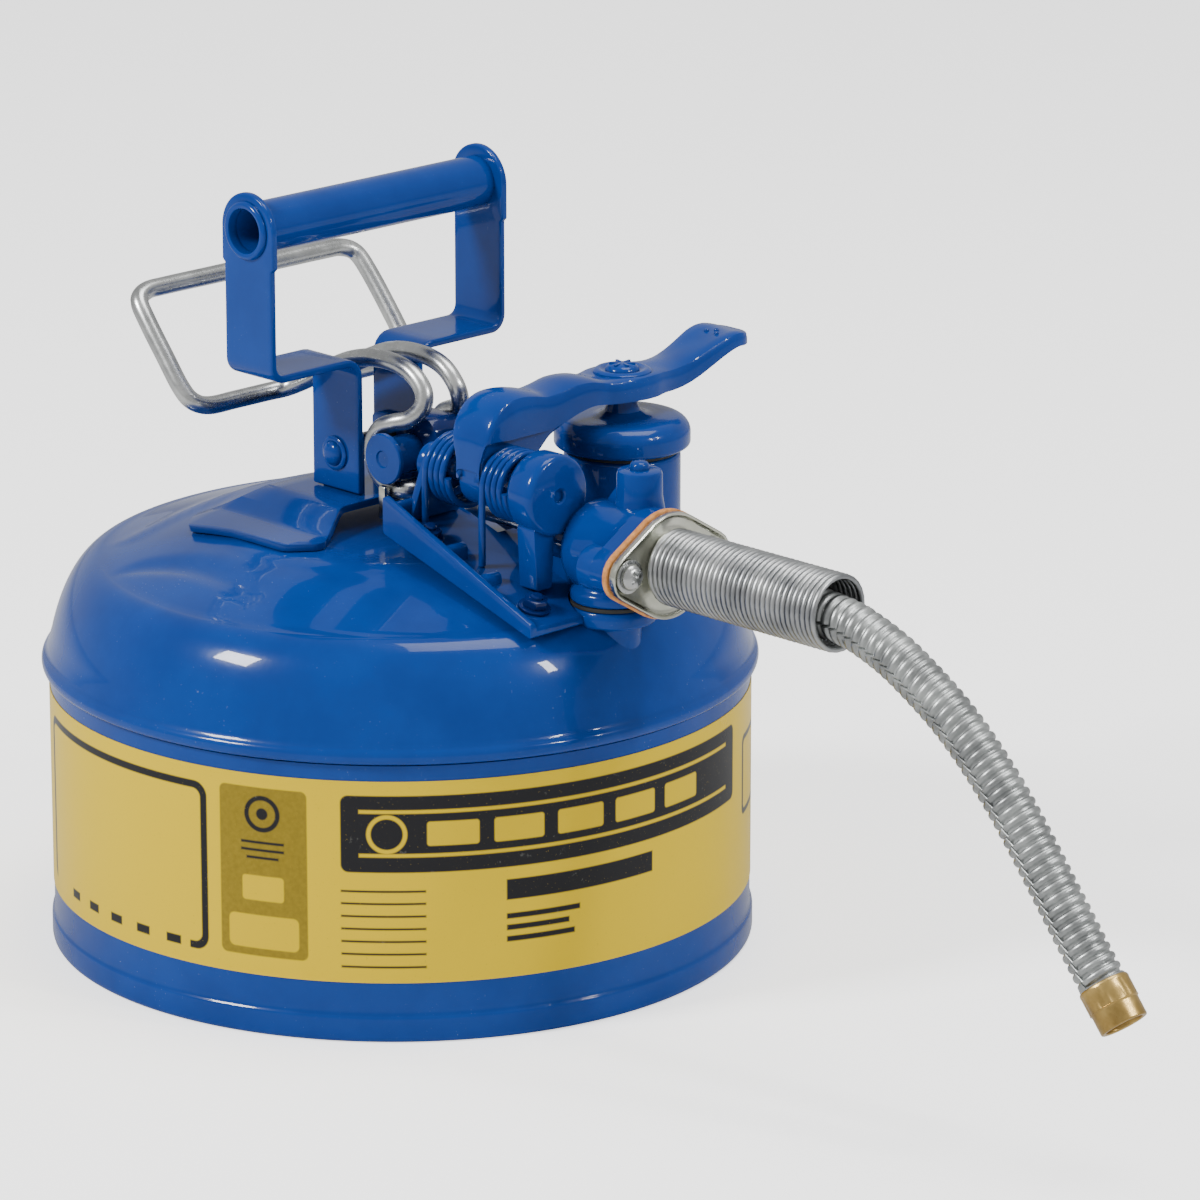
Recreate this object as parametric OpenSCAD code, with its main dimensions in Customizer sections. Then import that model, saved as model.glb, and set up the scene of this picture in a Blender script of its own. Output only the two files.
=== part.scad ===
// Safety gas can, Type II: sheet-steel tank, bail trigger, sprung fill lever, flexible pouring hose.
// Origin: centre of the foot ring, on the floor. +Z up, +X the pouring side, Y along the hand grip.

/* [Tank] */
// Outer radius of the straight tank wall
wall_r = 118; // [112:0.5:119]
// Outer radius of the rolled bead where the top is seamed on
bead_r = 120.6; // [120:0.1:122]
// Height of the middle of that bead
bead_z = 97.5; // [96:0.5:99]
// Sheet thickness of the tank
sheet_t = 1; // [0.8:0.1:1.2]
// Height of the flat top of the dome
top_z = 144.2; // [143.8:0.1:144.2]
// Lower and upper edge of the printed band
band_z = [20.5, 89]; // [15:0.5:92]

/* [Handle] */
// Height of the grip tube's axis
grip_z = 248.5; // [244:0.5:252]
// Distance of the grip tube's axis from the tank axis, towards -X
grip_x = -15; // [-16:0.5:-14]
// Outer radius of the grip tube
grip_r = 8.6; // [8.2:0.1:9]
// Bore radius of the grip tube
grip_bore_r = 7.3; // [6.5:0.1:7.6]
// Width of the handle strap
strap_w = 25; // [22:0.5:26]
// Thickness of the handle strap
strap_t = 2.5; // [2:0.1:3]
// Outer faces of the two upright strap panels, from the middle
panel_y = 53; // [50:0.5:54]
// Outer faces of the two strap legs, from the middle
leg_y = 15; // [14.6:0.1:15.4]

/* [Trigger] */
// Diameter of the trigger wire
wire_d = 6.2; // [5.5:0.1:6.4]
// Height of the trigger's pivot pin
pivot_z = 170; // [169.8:0.1:170.2]
// Distance of that pin from the tank axis
pivot_x = 13; // [12.8:0.1:13.2]

/* [Fill opening] */
// Centre of the fill neck
neck_at = [59, 46.5]; // [46:0.5:60]
// Outer radius of the fill neck
neck_r = 19.5; // [18.5:0.1:19.7]
// Bore radius of the fill neck
neck_bore_r = 16.5; // [16:0.1:17]
// Height of the neck's rim
rim_z = 170; // [169:0.1:170.2]
// Radius of the cap
cap_r = 22.8; // [21.5:0.1:23.5]
// Hinge axis of the fill lever, as y and z
hinge_at = [-14, 172]; // [-14:0.5:172]
// Radius of the hinge shaft
shaft_r = 4; // [3.5:0.1:4.2]

/* [Outlet] */
// Height of the outlet's axis
outlet_z = 153.5; // [153:0.1:153.6]
// Front face of the outlet casting
outlet_x = 124; // [123.8:0.1:124.2]
// Diameter of the flexible hose
hose_d = 15.4; // [14:0.1:16]
// Outer radius of the stiffening spring on the hose
relief_r = 12.8; // [12:0.1:13]

/* [Hidden] */
$fn = 64;

tank_blue = [0.05, 0.35, 0.65];
dark_blue = [0.08, 0.2, 0.5];
zinc = [0.7, 0.72, 0.68];
steel = [0.75, 0.76, 0.74];
tan_fibre = [0.8, 0.5, 0.27];
black = [0.12, 0.12, 0.12];
brass = [0.72, 0.58, 0.25];

// Dome outline: an elliptical shoulder, a shallow cone and a flat top
edge_r = 99.6;
edge_z = 132;
plateau_r = 60;
shoulder_r = 120;
shoulder_z = 79.3;
seam_z = bead_z - 2.5;
cone_rise = (top_z - edge_z) / (edge_r - plateau_r);
shoulder_start = asin((bead_z + 2.5 - shoulder_z) / (edge_z - shoulder_z));
function shoulder(t) = [edge_r + (shoulder_r - edge_r) * cos(t), shoulder_z + (edge_z - shoulder_z) * sin(t)];
function dome_line(t_in) = concat([for (i = [0 : 8]) shoulder(shoulder_start + i * (90 - shoulder_start) / 8)
    - [t_in, t_in]], [[plateau_r - t_in / 4, top_z - t_in], [0, top_z - t_in]]);

// Trigger wire, near half, from its hooked end to the middle of the crossbar
wire_half = [[18.6, -9.5, 159.3], [18.3, -12.6, 159.3], [16.4, -14, 159.3], [13, -14, 159.2], [8.3, -14, 160.4], [4.3, -14, 164], [2.5, -14, 169],
    [3.3, -14, 174.4], [6.8, -14, 178.8], [12, -13, 181.2], [17.5, -11, 183], [20.8, -8.5, 187.2],
    [20, -7.2, 192.4], [14.5, -7, 197.2], [6, -7, 199.4], [-5, -7, 199.2], [-16, -7, 196.4],
    [-28, -7, 190.8], [-38, -7.2, 185.4], [-45, -9.5, 181.9], [-48, -16, 180.9], [-48, -30, 180.9],
    [-47.6, -42, 181.2], [-48.8, -48.2, 183.5], [-52.5, -50.2, 188], [-60, -50.4, 197.2],
    [-69, -50.2, 207.8], [-74.2, -49, 213.6], [-76.2, -44, 215.9], [-76.4, -36, 216.2], [-76.4, -12, 216.2]];
wire_path = concat(wire_half, [for (i = [len(wire_half) - 1 : -1 : 0])
    [wire_half[i][0], -wire_half[i][1], wire_half[i][2]]]);

// Route of the hose, from the gasket's face to the ferrule
hose_route = [[126, 0, 153.5], [150, 0, 153.5], [180, 0, 153.3], [205, 0, 151.5], [216, 0, 149],
    [228, 0, 144.5], [240, 0, 138], [251, 0, 131], [261, 0, 123], [270, 0, 114.5], [278, 0, 106],
    [286, 0, 96.5], [294, 0, 86.5], [302, 0, 76.5], [310, 0, 66.5], [317, 0, 58]];
hose_end = [317, 0, 58];
hose_aim = atan2(58 - 66.5, 317 - 310);

// Sweep of a round section along a list of points
function unit(v) = v / norm(v);
function tangent(p, i) = unit(p[min(i + 1, len(p) - 1)] - p[max(i - 1, 0)]);
function across(v, t) = unit(v - (v * t) * t);
function sides(p) = [for (i = 0, v = across([0.1, 1, 0.2], tangent(p, 0)); i < len(p);
    v = across(v, tangent(p, min(i + 1, len(p) - 1))), i = i + 1) v];
function ring(c, t, v, r, n) = [for (k = [0 : n - 1]) let (a = 360 * k / n)
    c + r * (cos(a) * v + sin(a) * cross(t, v))];
module sweep(p, r, n) {
    s = sides(p);
    m = len(p);
    points = [for (i = [0 : m - 1]) each ring(p[i], tangent(p, i), s[i], r, n)];
    walls = [for (i = [0 : m - 2], k = [0 : n - 1]) let (j = (k + 1) % n)
        [i * n + k, (i + 1) * n + k, (i + 1) * n + j, i * n + j]];
    ends = [[for (k = [0 : n - 1]) k], [for (k = [n - 1 : -1 : 0]) (m - 1) * n + k]];
    polyhedron(points, concat(walls, ends), convexity = 10);
}
// Coil along +X from x0 to x1, as points
function coil(x0, x1, r, turns, steps, start = 0, way = 1) =
    [for (i = [0 : turns * steps]) let (a = start + way * 360 * i / steps)
    [x0 + (x1 - x0) * i / (turns * steps), r * cos(a), r * sin(a)]];
// A bar or tube along X and along Y
module bar_x(x0, x1, r) { translate([x0, 0, 0]) rotate([0, 90, 0]) cylinder(r = r, h = x1 - x0); }
module bar_y(y0, y1, r) { translate([0, y0, 0]) rotate([-90, 0, 0]) cylinder(r = r, h = y1 - y0); }
// A YZ outline drawn as [y, z], thickened along X
module slab_x(x0, x1) { translate([x0, 0, 0]) rotate([90, 0, 90]) linear_extrude(x1 - x0) children(); }

// ---- tank ----
pan_r = wall_r - 1.6;
chime_r = wall_r + 0.9;
module tank_shell() {
    color(tank_blue) rotate_extrude() polygon([[wall_r - 6, 0], [chime_r - 1, 0], [chime_r, 1.5],
        [chime_r, 8], [wall_r, 12], [wall_r, seam_z], [wall_r - sheet_t, seam_z], [wall_r - sheet_t, 1],
        [wall_r - 6, 1]]);
}
module tank_bottom() {
    color(tank_blue) rotate_extrude() polygon([[0, 7], [pan_r - 1, 7], [pan_r - 1, 1], [pan_r, 1],
        [pan_r, 8], [0, 8]]);
}
// Inlet of the outlet casting: a flat pad pressed into the shoulder, with a hole
inlet_x = 102;
pad_r = 14;
pad_z = 135.8;
inlet_r = 7;
module tank_dome() {
    color(tank_blue) difference() {
        union() {
            difference() {
                rotate_extrude() polygon(concat([[wall_r - sheet_t, seam_z], [wall_r, seam_z],
                    [bead_r - 0.8, seam_z + 0.6], [bead_r, bead_z - 0.6], [bead_r, bead_z + 0.6],
                    [bead_r - 0.8, bead_z + 2]], dome_line(0), [[0, seam_z]]));
                rotate_extrude() polygon(concat([[0, seam_z - 1], [wall_r - sheet_t, seam_z - 1],
                    [wall_r - sheet_t, bead_z + 1]], dome_line(sheet_t)));
            }
            translate([inlet_x, 0, 124]) cylinder(r = pad_r, h = pad_z - 124);
        }
        translate([inlet_x, 0, 110]) cylinder(r = inlet_r, h = 40);
        translate([neck_at[0], neck_at[1], 110]) cylinder(r = neck_r + 0.05, h = 50);
    }
}
module printed_band() {
    color([0.95, 0.8, 0.1]) translate([0, 0, band_z[0]]) difference() {
        cylinder(r = wall_r + 0.35, h = band_z[1] - band_z[0]);
        translate([0, 0, -1]) cylinder(r = wall_r + 0.05, h = band_z[1] - band_z[0] + 2);
    }
}

// ---- handle ----
strap_x = grip_x - strap_w / 2;
saddle_z = 150.5;
saddle_top = saddle_z + strap_t;
saddle_x = [-47, 13];
rivet_z = 166;
tab_y = leg_y - strap_t;
module saddle_bracket() {
    color(tank_blue) difference() {
        union() {
            slab_x(saddle_x[0], saddle_x[1]) polygon([[-58, top_z], [-41, top_z], [-28, saddle_z],
                [28, saddle_z], [41, top_z], [58, top_z], [58, top_z + strap_t],
                [42, top_z + strap_t], [29, saddle_top], [-29, saddle_top],
                [-42, top_z + strap_t], [-58, top_z + strap_t]]);
            for (s = [-1, 1])
                translate([grip_x - 9, s > 0 ? tab_y - strap_t : -tab_y, saddle_top - 1]) cube([18, strap_t, 22]);
        }
        for (e = [[2, saddle_x[1]], [-36, saddle_x[0]]]) translate([0, 0, top_z - 1]) linear_extrude(12)
            polygon([[e[0], -28], [e[1], -46], [e[1] * 2, -46], [e[1] * 2, 46], [e[1], 46], [e[0], 28]]);
        translate([grip_x, 0, rivet_z]) bar_y(-20, 20, 2.6);
    }
}
shelf_z = 198;
bend_r = 6;
module handle_strap() {
    turn_y = panel_y - bend_r;
    turn_z = shelf_z + bend_r;
    difference() {
        union() {
            translate([strap_x, tab_y, saddle_top]) cube([strap_w, strap_t, shelf_z - saddle_top + strap_t]);
            translate([strap_x, tab_y, shelf_z]) cube([strap_w, turn_y - tab_y, strap_t]);
            difference() {
                translate([strap_x, turn_y, turn_z]) rotate([0, 90, 0]) cylinder(r = bend_r, h = strap_w);
                translate([strap_x - 1, turn_y, turn_z]) rotate([0, 90, 0])
                    cylinder(r = bend_r - strap_t, h = strap_w + 2);
                translate([strap_x - 1, turn_y - 10, turn_z - 10]) cube([strap_w + 2, 10, 20]);
                translate([strap_x - 1, turn_y - 1, turn_z]) cube([strap_w + 2, 20, 20]);
            }
            translate([strap_x, panel_y - strap_t, turn_z]) cube([strap_w, strap_t, grip_z - turn_z]);
            translate([grip_x, 0, grip_z]) bar_y(panel_y - strap_t, panel_y, strap_w / 2);
        }
        translate([grip_x, 0, grip_z]) bar_y(panel_y - 10, panel_y + 10, grip_bore_r);
        translate([grip_x, 0, rivet_z]) bar_y(0, 20, 2.6);
    }
}
module handle_strap_far() { color(tank_blue) handle_strap(); }
module handle_strap_near() { color(tank_blue) mirror([0, 1, 0]) handle_strap(); }
module grip_tube() {
    end = panel_y - strap_t;
    color(tank_blue) translate([grip_x, 0, grip_z]) difference() {
        bar_y(-end, end, grip_r);
        bar_y(-end - 1, end + 1, grip_bore_r);
    }
}
module leg_spacer() {
    end = tab_y - strap_t;
    color(black) translate([grip_x, 0, rivet_z]) difference() {
        bar_y(-end, end, 4.5);
        bar_y(-end - 1, end + 1, 2.6);
    }
}
module handle_rivet() {
    color(tank_blue) translate([grip_x, 0, rivet_z]) {
        bar_y(-leg_y - 1, leg_y + 1, 2.55);
        for (s = [-1, 1]) mirror([0, s < 0 ? 1 : 0, 0]) {
            bar_y(leg_y, leg_y + 1.2, 5.5);
            bar_y(leg_y + 1, leg_y + 2.4, 4);
        }
    }
}

// ---- deck, outlet casting and pour valve ----
deck_x = [33, 103];
deck_y = [-38, 24];
deck_t = 3;
deck_tilt = atan(cone_rise);
function deck_z(x) = top_z + 0.05 + deck_t / cos(deck_tilt) - (x - plateau_r) * cone_rise;
module deck_outline(y0, y1, top_left, top_right) {
    translate([0, y1, 0]) rotate([90, 0, 0]) linear_extrude(y1 - y0) polygon([
        [deck_x[0], deck_z(deck_x[0]) - deck_t - 0.1], [deck_x[1], deck_z(deck_x[1]) - deck_t - 0.1],
        [deck_x[1], deck_z(deck_x[1]) + top_right], [deck_x[0], deck_z(deck_x[0]) + top_left]]);
}
screw_at = [[46, -30], [93, -27], [44, 13], [84, 17]];
module deck_tray() {
    color(tank_blue) difference() {
        union() {
            deck_outline(deck_y[0], deck_y[1], 0, 0);
            deck_outline(deck_y[0], deck_y[0] + 2.5, 9.5, 1.5);
            deck_outline(deck_y[1] - 2.5, deck_y[1], 3, 1.5);
        }
        translate([inlet_x, 0, 100]) cylinder(r = pad_r + 0.4, h = 60);
        translate([deck_x[0] - 2, -4, 140]) cube([21, 8, 40]);
        for (p = screw_at) translate([p[0], p[1], 120]) cylinder(r = 2.1, h = 50);
    }
}
function dome_z(r) = top_z - max(0, r - plateau_r) * cone_rise;
module deck_screws() {
    color(dark_blue) for (p = screw_at) translate([p[0], p[1], 0]) {
        translate([0, 0, dome_z(norm(p)) + 0.8]) cylinder(r = 2, h = deck_z(p[0]) - dome_z(norm(p)) + 1);
        translate([0, 0, deck_z(p[0]) + 1.4]) cylinder(r = 4.6, h = 1.2);
        translate([0, 0, deck_z(p[0]) + 2.4]) cylinder(r = 3.6, h = 2.6, $fn = 6);
    }
}
module inlet_gasket() {
    color(black) translate([inlet_x, 0, pad_z]) difference() {
        cylinder(r = pad_r, h = 1.2);
        translate([0, 0, -1]) cylinder(r = inlet_r, h = 4);
    }
}
// Two-bolt diamond flange outline in Y and Z around the outlet axis
bolt_y = 18.5;
module diamond(x0, x1, grow) {
    core = 17 + grow;
    ear = 7.5 + grow;
    lean = acos((core - ear) / bolt_y);
    function on_core(q) = [q[0] * core * cos(lean), q[1] * core * sin(lean)];
    function on_ear(q) = [q[0] * (bolt_y + ear * cos(lean)), q[1] * ear * sin(lean)];
    slab_x(x0, x1) translate([0, outlet_z]) {
        circle(r = core);
        for (s = [-1, 1]) translate([s * bolt_y, 0]) circle(r = ear);
        polygon([for (q = [[1, 1], [-1, 1], [-1, -1], [1, -1]])
            each q[0] * q[1] > 0 ? [on_ear(q), on_core(q)] : [on_core(q), on_ear(q)]]);
    }
}
stem_r = 2.2;
chamber = [95, 110];
chamber_r = 10.5;
seat_r = 7.7;
guide_x = 66;
module outlet_casting() {
    foot_z = pad_z + 1.2;
    color(tank_blue) difference() {
        union() {
            translate([0, 0, outlet_z]) {
                bar_x(guide_x, 94, 7.5);
                bar_x(92, outlet_x - 3, 15.5);
            }
            diamond(outlet_x - 7, outlet_x, 0);
            translate([inlet_x, 0, foot_z]) cylinder(r = pad_r, h = outlet_z - foot_z);
            translate([108, 6, outlet_z + 8]) cylinder(r = 7.5, h = 19);
            translate([guide_x, -5, deck_z(guide_x) + 0.05]) cube([8, 10, outlet_z - deck_z(guide_x) - 2]);
        }
        translate([0, 0, outlet_z]) {
            bar_x(50, 120, stem_r + 0.3);
            bar_x(chamber[0], chamber[1], chamber_r);
            bar_x(chamber[1] - 1, outlet_x + 1, seat_r);
            for (s = [-1, 1]) translate([0, s * bolt_y, 0]) bar_x(outlet_x - 12, outlet_x + 1, 2.6);
        }
        translate([inlet_x, 0, foot_z - 1]) cylinder(r = inlet_r, h = outlet_z - foot_z + 1);
        translate([108, 6, outlet_z + 22]) cylinder(r = 3, h = 10);
    }
}
module pour_arrester() {
    color(brass) translate([inlet_x, 0, 104]) difference() {
        union() {
            cylinder(r = inlet_r - 0.6, h = 26);
            translate([0, 0, 22]) cylinder(r = inlet_r - 0.05, h = 4);
        }
        translate([0, 0, 1]) cylinder(r = inlet_r - 1.4, h = 27);
    }
}
vent_top = top_z - sheet_t - 0.05;
module vent_tube() {
    color(steel) difference() {
        union() {
            translate([50, -10, 30]) cylinder(r = 4, h = vent_top - 30);
            translate([50, -10, vent_top - 1.8]) cylinder(r = 7, h = 1.8);
        }
        translate([50, -10, 29]) cylinder(r = 3.2, h = 112.5);
    }
}
block_w = 12;
block_z = top_z + 0.05;
module pivot_block() {
    color(dark_blue) difference() {
        union() {
            translate([0, block_w / 2, 0]) rotate([90, 0, 0]) linear_extrude(block_w)
                polygon([[17, block_z], [26, block_z], [27, 176], [26, 181], [22, 183.5], [8, 183.5],
                    [5, 180], [5, 168], [8, 163.8], [17, 163.8]]);
            translate([15, -10, block_z]) cube([15, 20, 2.4]);
        }
        translate([pivot_x, 0, pivot_z]) bar_y(-20, 20, 4.05);
        translate([0, 0, outlet_z]) bar_x(10, 40, stem_r + 0.8);
    }
}
module pivot_pin() {
    color(dark_blue) translate([pivot_x, 0, pivot_z]) {
        bar_y(-19.5, 19.5, 4);
        for (s = [-1, 1]) mirror([0, s < 0 ? 1 : 0, 0]) {
            bar_y(6.2, 17.5, 6.6);
            bar_y(17.5, 19.5, 8.6);
        }
    }
}
module trigger_wire() { color(steel) sweep(wire_path, wire_d / 2, 10); }
yoke_x = 11.5;
module valve_yoke() {
    color(zinc) difference() {
        translate([yoke_x, -20, 156.4 - 7]) cube([3, 40, 11.5]);
        for (s = [-1, 1]) translate([yoke_x - 1, s * 14 - 3.7, 154.6]) cube([5, 7.4, 20]);
        translate([0, 0, outlet_z]) bar_x(0, 30, stem_r - 0.4);
    }
}
disc_x = 105.9;
module valve_stem() {
    color(steel) translate([0, 0, outlet_z]) {
        bar_x(9, yoke_x, stem_r + 1.2);
        bar_x(yoke_x - 1, yoke_x + 4, stem_r - 0.4);
        bar_x(yoke_x + 3, disc_x, stem_r);
        bar_x(disc_x - 0.5, disc_x + 2, 9);
    }
}
module valve_seal() {
    color(black) translate([0, 0, outlet_z]) bar_x(disc_x + 2, chamber[1] - 0.05, 9);
}
module valve_spring() {
    color(steel) translate([0, 0, outlet_z]) sweep(coil(96.2, 99.6, 5.6, 3, 14), 0.6, 6);
}

// ---- fill opening and its lever ----
module fill_neck() {
    color(tank_blue) translate([neck_at[0], neck_at[1], 0]) difference() {
        translate([0, 0, 128]) cylinder(r = neck_r, h = rim_z - 128);
        translate([0, 0, 120]) cylinder(r = neck_bore_r, h = 60);
    }
}
basket = [104, 163];
module fill_arrester() {
    color(brass) translate([neck_at[0], neck_at[1], basket[0]]) difference() {
        union() {
            cylinder(r = 15.2, h = basket[1] - basket[0]);
            translate([0, 0, basket[1] - basket[0] - 2]) cylinder(r = neck_bore_r - 0.05, h = 2);
        }
        translate([0, 0, 1]) cylinder(r = 14.4, h = 70);
    }
}
module on_hinge() { translate([0, hinge_at[0], hinge_at[1]]) children(); }
module hinge_bracket() {
    color(tank_blue) difference() {
        slab_x(34, 37) polygon([[hinge_at[0] - 15, deck_z(34)], [hinge_at[0] + 8, deck_z(34)],
            [hinge_at[0] + 6, hinge_at[1] + 7], [hinge_at[0] - 6, hinge_at[1] + 7]]);
        on_hinge() bar_x(30, 40, shaft_r);
    }
}
module hinge_shaft() { color(dark_blue) on_hinge() {
    bar_x(30, 90, shaft_r);
    bar_x(30, 33.9, 6.5);
} }
module shaft_head() {
    color(tank_blue) difference() {
        union() {
            on_hinge() bar_x(80, 91, 13.4);
            on_hinge() bar_x(79, 91.8, 12);
            translate([81, hinge_at[0] - 7, deck_z(81) + 0.05]) cube([8, 5, 24]);
        }
        on_hinge() bar_x(70, 100, shaft_r);
    }
}
module lever_spring(x0, x1, leg_z) {
    color(tank_blue) on_hinge() sweep(concat([[x0 - 0.4, -11, leg_z], [x0 - 0.2, -11, leg_z / 2]],
        coil(x0, x1, 11, 4, 16, 180, -1)), 1.2, 8);
}
module lever_spring_near() { lever_spring(67, 77.5, -26.3); }
module lever_spring_far() { lever_spring(40, 50.5, -18); }
lever_x = [54, 64];
lever_w = 18;
lever_mid = (lever_x[0] + lever_x[1]) / 2;
lever_top = [[-19, 196.5], [-14, 199.5], [6, 198.2], [25, 198], [45, 197.2], [63, 196.2], [75, 198.8],
    [87, 202.4], [93, 202], [98.5, 197.5]];
module lever_plate(t) {
    polygon(concat(lever_top, [for (i = [len(lever_top) - 1 : -1 : 0]) lever_top[i] - [0, t]]));
}
module fill_lever() {
    color(tank_blue) difference() {
        union() {
            slab_x(lever_mid - lever_w / 2, lever_mid + lever_w / 2) lever_plate(3);
            for (s = [-1, 1]) slab_x(lever_mid - 1.2 + s * (lever_w / 2 - 1.2), lever_mid + 1.2 + s * (lever_w / 2 - 1.2))
                lever_plate(8);
            slab_x(lever_x[0], lever_x[1]) polygon([[-23.5, 172], [-21, 192], [-19, 195.5], [20, 195.5],
                [20, 187], [2, 181], [-4.5, 172]]);
            on_hinge() bar_x(lever_x[0], lever_x[1], 9.5);
        }
        on_hinge() bar_x(40, 90, shaft_r + 0.05);
        translate([neck_at[0], neck_at[1], 180]) cylinder(r = 2.5, h = 30);
    }
}
module lever_screw() {
    color(tank_blue) translate([neck_at[0], neck_at[1], 0]) {
        translate([0, 0, 190]) cylinder(r = 2.45, h = 9);
        translate([0, 0, 197.5]) cylinder(r = 6, h = 2);
    }
}
cap_top = rim_z + 12;
module fill_cap() {
    color(tank_blue) translate([neck_at[0], neck_at[1], 0]) difference() {
        union() {
            translate([0, 0, rim_z + 1.6]) cylinder(r = cap_r, h = cap_top - rim_z - 2.6);
            translate([0, 0, cap_top - 1.2]) cylinder(r = cap_r - 2, h = 1.2);
            translate([0, 0, cap_top - 1]) cylinder(r = 5, h = 193.8 - cap_top + 1);
        }
        translate([0, 0, 188]) cylinder(r = 2.45, h = 9);
    }
}
module cap_gasket() {
    color(black) translate([neck_at[0], neck_at[1], rim_z + 0.1]) cylinder(r = neck_r, h = 1.5);
}

// ---- hose and its fixing ----
module hose_gasket() {
    color(tan_fibre) difference() {
        diamond(outlet_x, outlet_x + 2, 1);
        translate([0, 0, outlet_z]) {
            bar_x(outlet_x - 1, outlet_x + 3, seat_r);
            for (s = [-1, 1]) translate([0, s * bolt_y, 0]) bar_x(outlet_x - 1, outlet_x + 3, 2.6);
        }
    }
}
plate_x = outlet_x + 2;
module hose_flange() {
    color(zinc) difference() {
        union() {
            diamond(plate_x, plate_x + 2.6, 0.6);
            translate([0, 0, outlet_z]) bar_x(plate_x, plate_x + 7, hose_d / 2 + 1.6);
        }
        translate([0, 0, outlet_z]) {
            bar_x(plate_x - 1, plate_x + 9, hose_d / 2 + 0.1);
            for (s = [-1, 1]) translate([0, s * bolt_y, 0]) bar_x(plate_x - 1, plate_x + 4, 2.6);
        }
    }
}
module flange_washers() {
    color(steel) for (s = [-1, 1]) translate([0, s * bolt_y, outlet_z]) difference() {
        bar_x(plate_x + 2.6, plate_x + 3.6, 5.6);
        bar_x(plate_x + 2, plate_x + 4, 2.6);
    }
}
module flange_screws() {
    color(steel) for (s = [-1, 1]) translate([0, s * bolt_y, outlet_z]) difference() {
        union() {
            bar_x(outlet_x - 9, plate_x + 4, 2.5);
            bar_x(plate_x + 3.6, plate_x + 5.8, 4.4);
        }
        translate([plate_x + 4.6, -0.6, -2.5]) cube([3, 1.2, 5]);
        translate([plate_x + 4.6, -2.5, -0.6]) cube([3, 5, 1.2]);
    }
}
module strain_spring() {
    color(steel) translate([0, 0, outlet_z]) sweep(coil(plate_x + 3.7, 204, relief_r - 1.05, 34, 12), 1.02, 6);
}
module hose() { color(zinc) sweep(hose_route, hose_d / 2, 12); }
module hose_ferrule() {
    color(brass) translate(hose_end) rotate([0, -hose_aim, 0]) difference() {
        bar_x(0.02, 13, hose_d / 2 + 0.7);
        bar_x(1, 14, hose_d / 2 - 1.4);
    }
}

tank_shell();
tank_bottom();
tank_dome();
printed_band();
saddle_bracket();
handle_strap_near();
handle_strap_far();
grip_tube();
leg_spacer();
handle_rivet();
deck_tray();
deck_screws();
inlet_gasket();
outlet_casting();
pour_arrester();
vent_tube();
pivot_block();
pivot_pin();
trigger_wire();
valve_yoke();
valve_stem();
valve_seal();
valve_spring();
fill_neck();
fill_arrester();
hinge_bracket();
hinge_shaft();
shaft_head();
lever_spring_near();
lever_spring_far();
fill_lever();
lever_screw();
fill_cap();
cap_gasket();
hose_gasket();
hose_flange();
flange_screws();
flange_washers();
strain_spring();
hose();
hose_ferrule();
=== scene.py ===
import math

import bmesh
import bpy
from mathutils import Matrix, Vector, noise


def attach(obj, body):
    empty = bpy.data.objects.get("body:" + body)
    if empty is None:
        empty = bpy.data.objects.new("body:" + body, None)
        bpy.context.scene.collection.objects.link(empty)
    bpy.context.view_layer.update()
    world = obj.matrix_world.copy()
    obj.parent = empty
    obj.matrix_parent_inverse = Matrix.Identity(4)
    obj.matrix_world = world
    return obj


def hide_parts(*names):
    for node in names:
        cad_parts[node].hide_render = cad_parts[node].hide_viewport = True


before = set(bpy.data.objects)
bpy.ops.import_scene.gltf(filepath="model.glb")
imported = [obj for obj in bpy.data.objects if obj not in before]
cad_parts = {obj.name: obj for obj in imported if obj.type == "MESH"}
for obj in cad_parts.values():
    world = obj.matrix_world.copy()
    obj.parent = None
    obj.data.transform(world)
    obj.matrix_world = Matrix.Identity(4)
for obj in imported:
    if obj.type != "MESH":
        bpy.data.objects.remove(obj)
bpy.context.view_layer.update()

# ---- camera ----
# A long lens some two metres away, a little above the can and looking down on it, from the side
# of the near end of the hand grip.
camera = bpy.data.objects.new("camera", bpy.data.cameras.new("camera"))
bpy.context.scene.collection.objects.link(camera)
camera.location = (1.6168, -1.4920, 0.769)
camera.rotation_euler = (math.radians(73.43), 0, math.radians(45.55))
camera.data.lens = 204.8
camera.data.clip_end = 60
bpy.context.scene.camera = camera


# ---- pouring hose ----
# A flexible metal tube, 5/8 in across, wound from one interlocked galvanised strip, so it is
# ringed all along with rounded ribs. It is stiff: it leaves the flange level and bows down.
class Value:
    """A socket of a shader node that can be used in arithmetic."""

    def __init__(self, finish, socket):
        self.finish, self.socket = finish, socket

    def math(self, operation, a, b=0.0):
        return self.finish.math(operation, a, b)

    def __add__(self, other): return self.math("ADD", self, other)
    def __sub__(self, other): return self.math("SUBTRACT", self, other)
    def __mul__(self, other): return self.math("MULTIPLY", self, other)
    def __truediv__(self, other): return self.math("DIVIDE", self, other)
    def __rsub__(self, other): return self.math("SUBTRACT", other, self)
    def __gt__(self, other): return self.math("GREATER_THAN", self, other)
    def __lt__(self, other): return self.math("LESS_THAN", self, other)
    def __abs__(self): return self.math("ABSOLUTE", self)
    __radd__, __rmul__ = __add__, __mul__

    def max(self, other): return self.math("MAXIMUM", self, other)
    def min(self, other): return self.math("MINIMUM", self, other)
    def step(self, low, high):
        return self.finish.node("MapRange", {"interpolation_type": "SMOOTHSTEP"}, i0=self, i1=low, i2=high)


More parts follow.
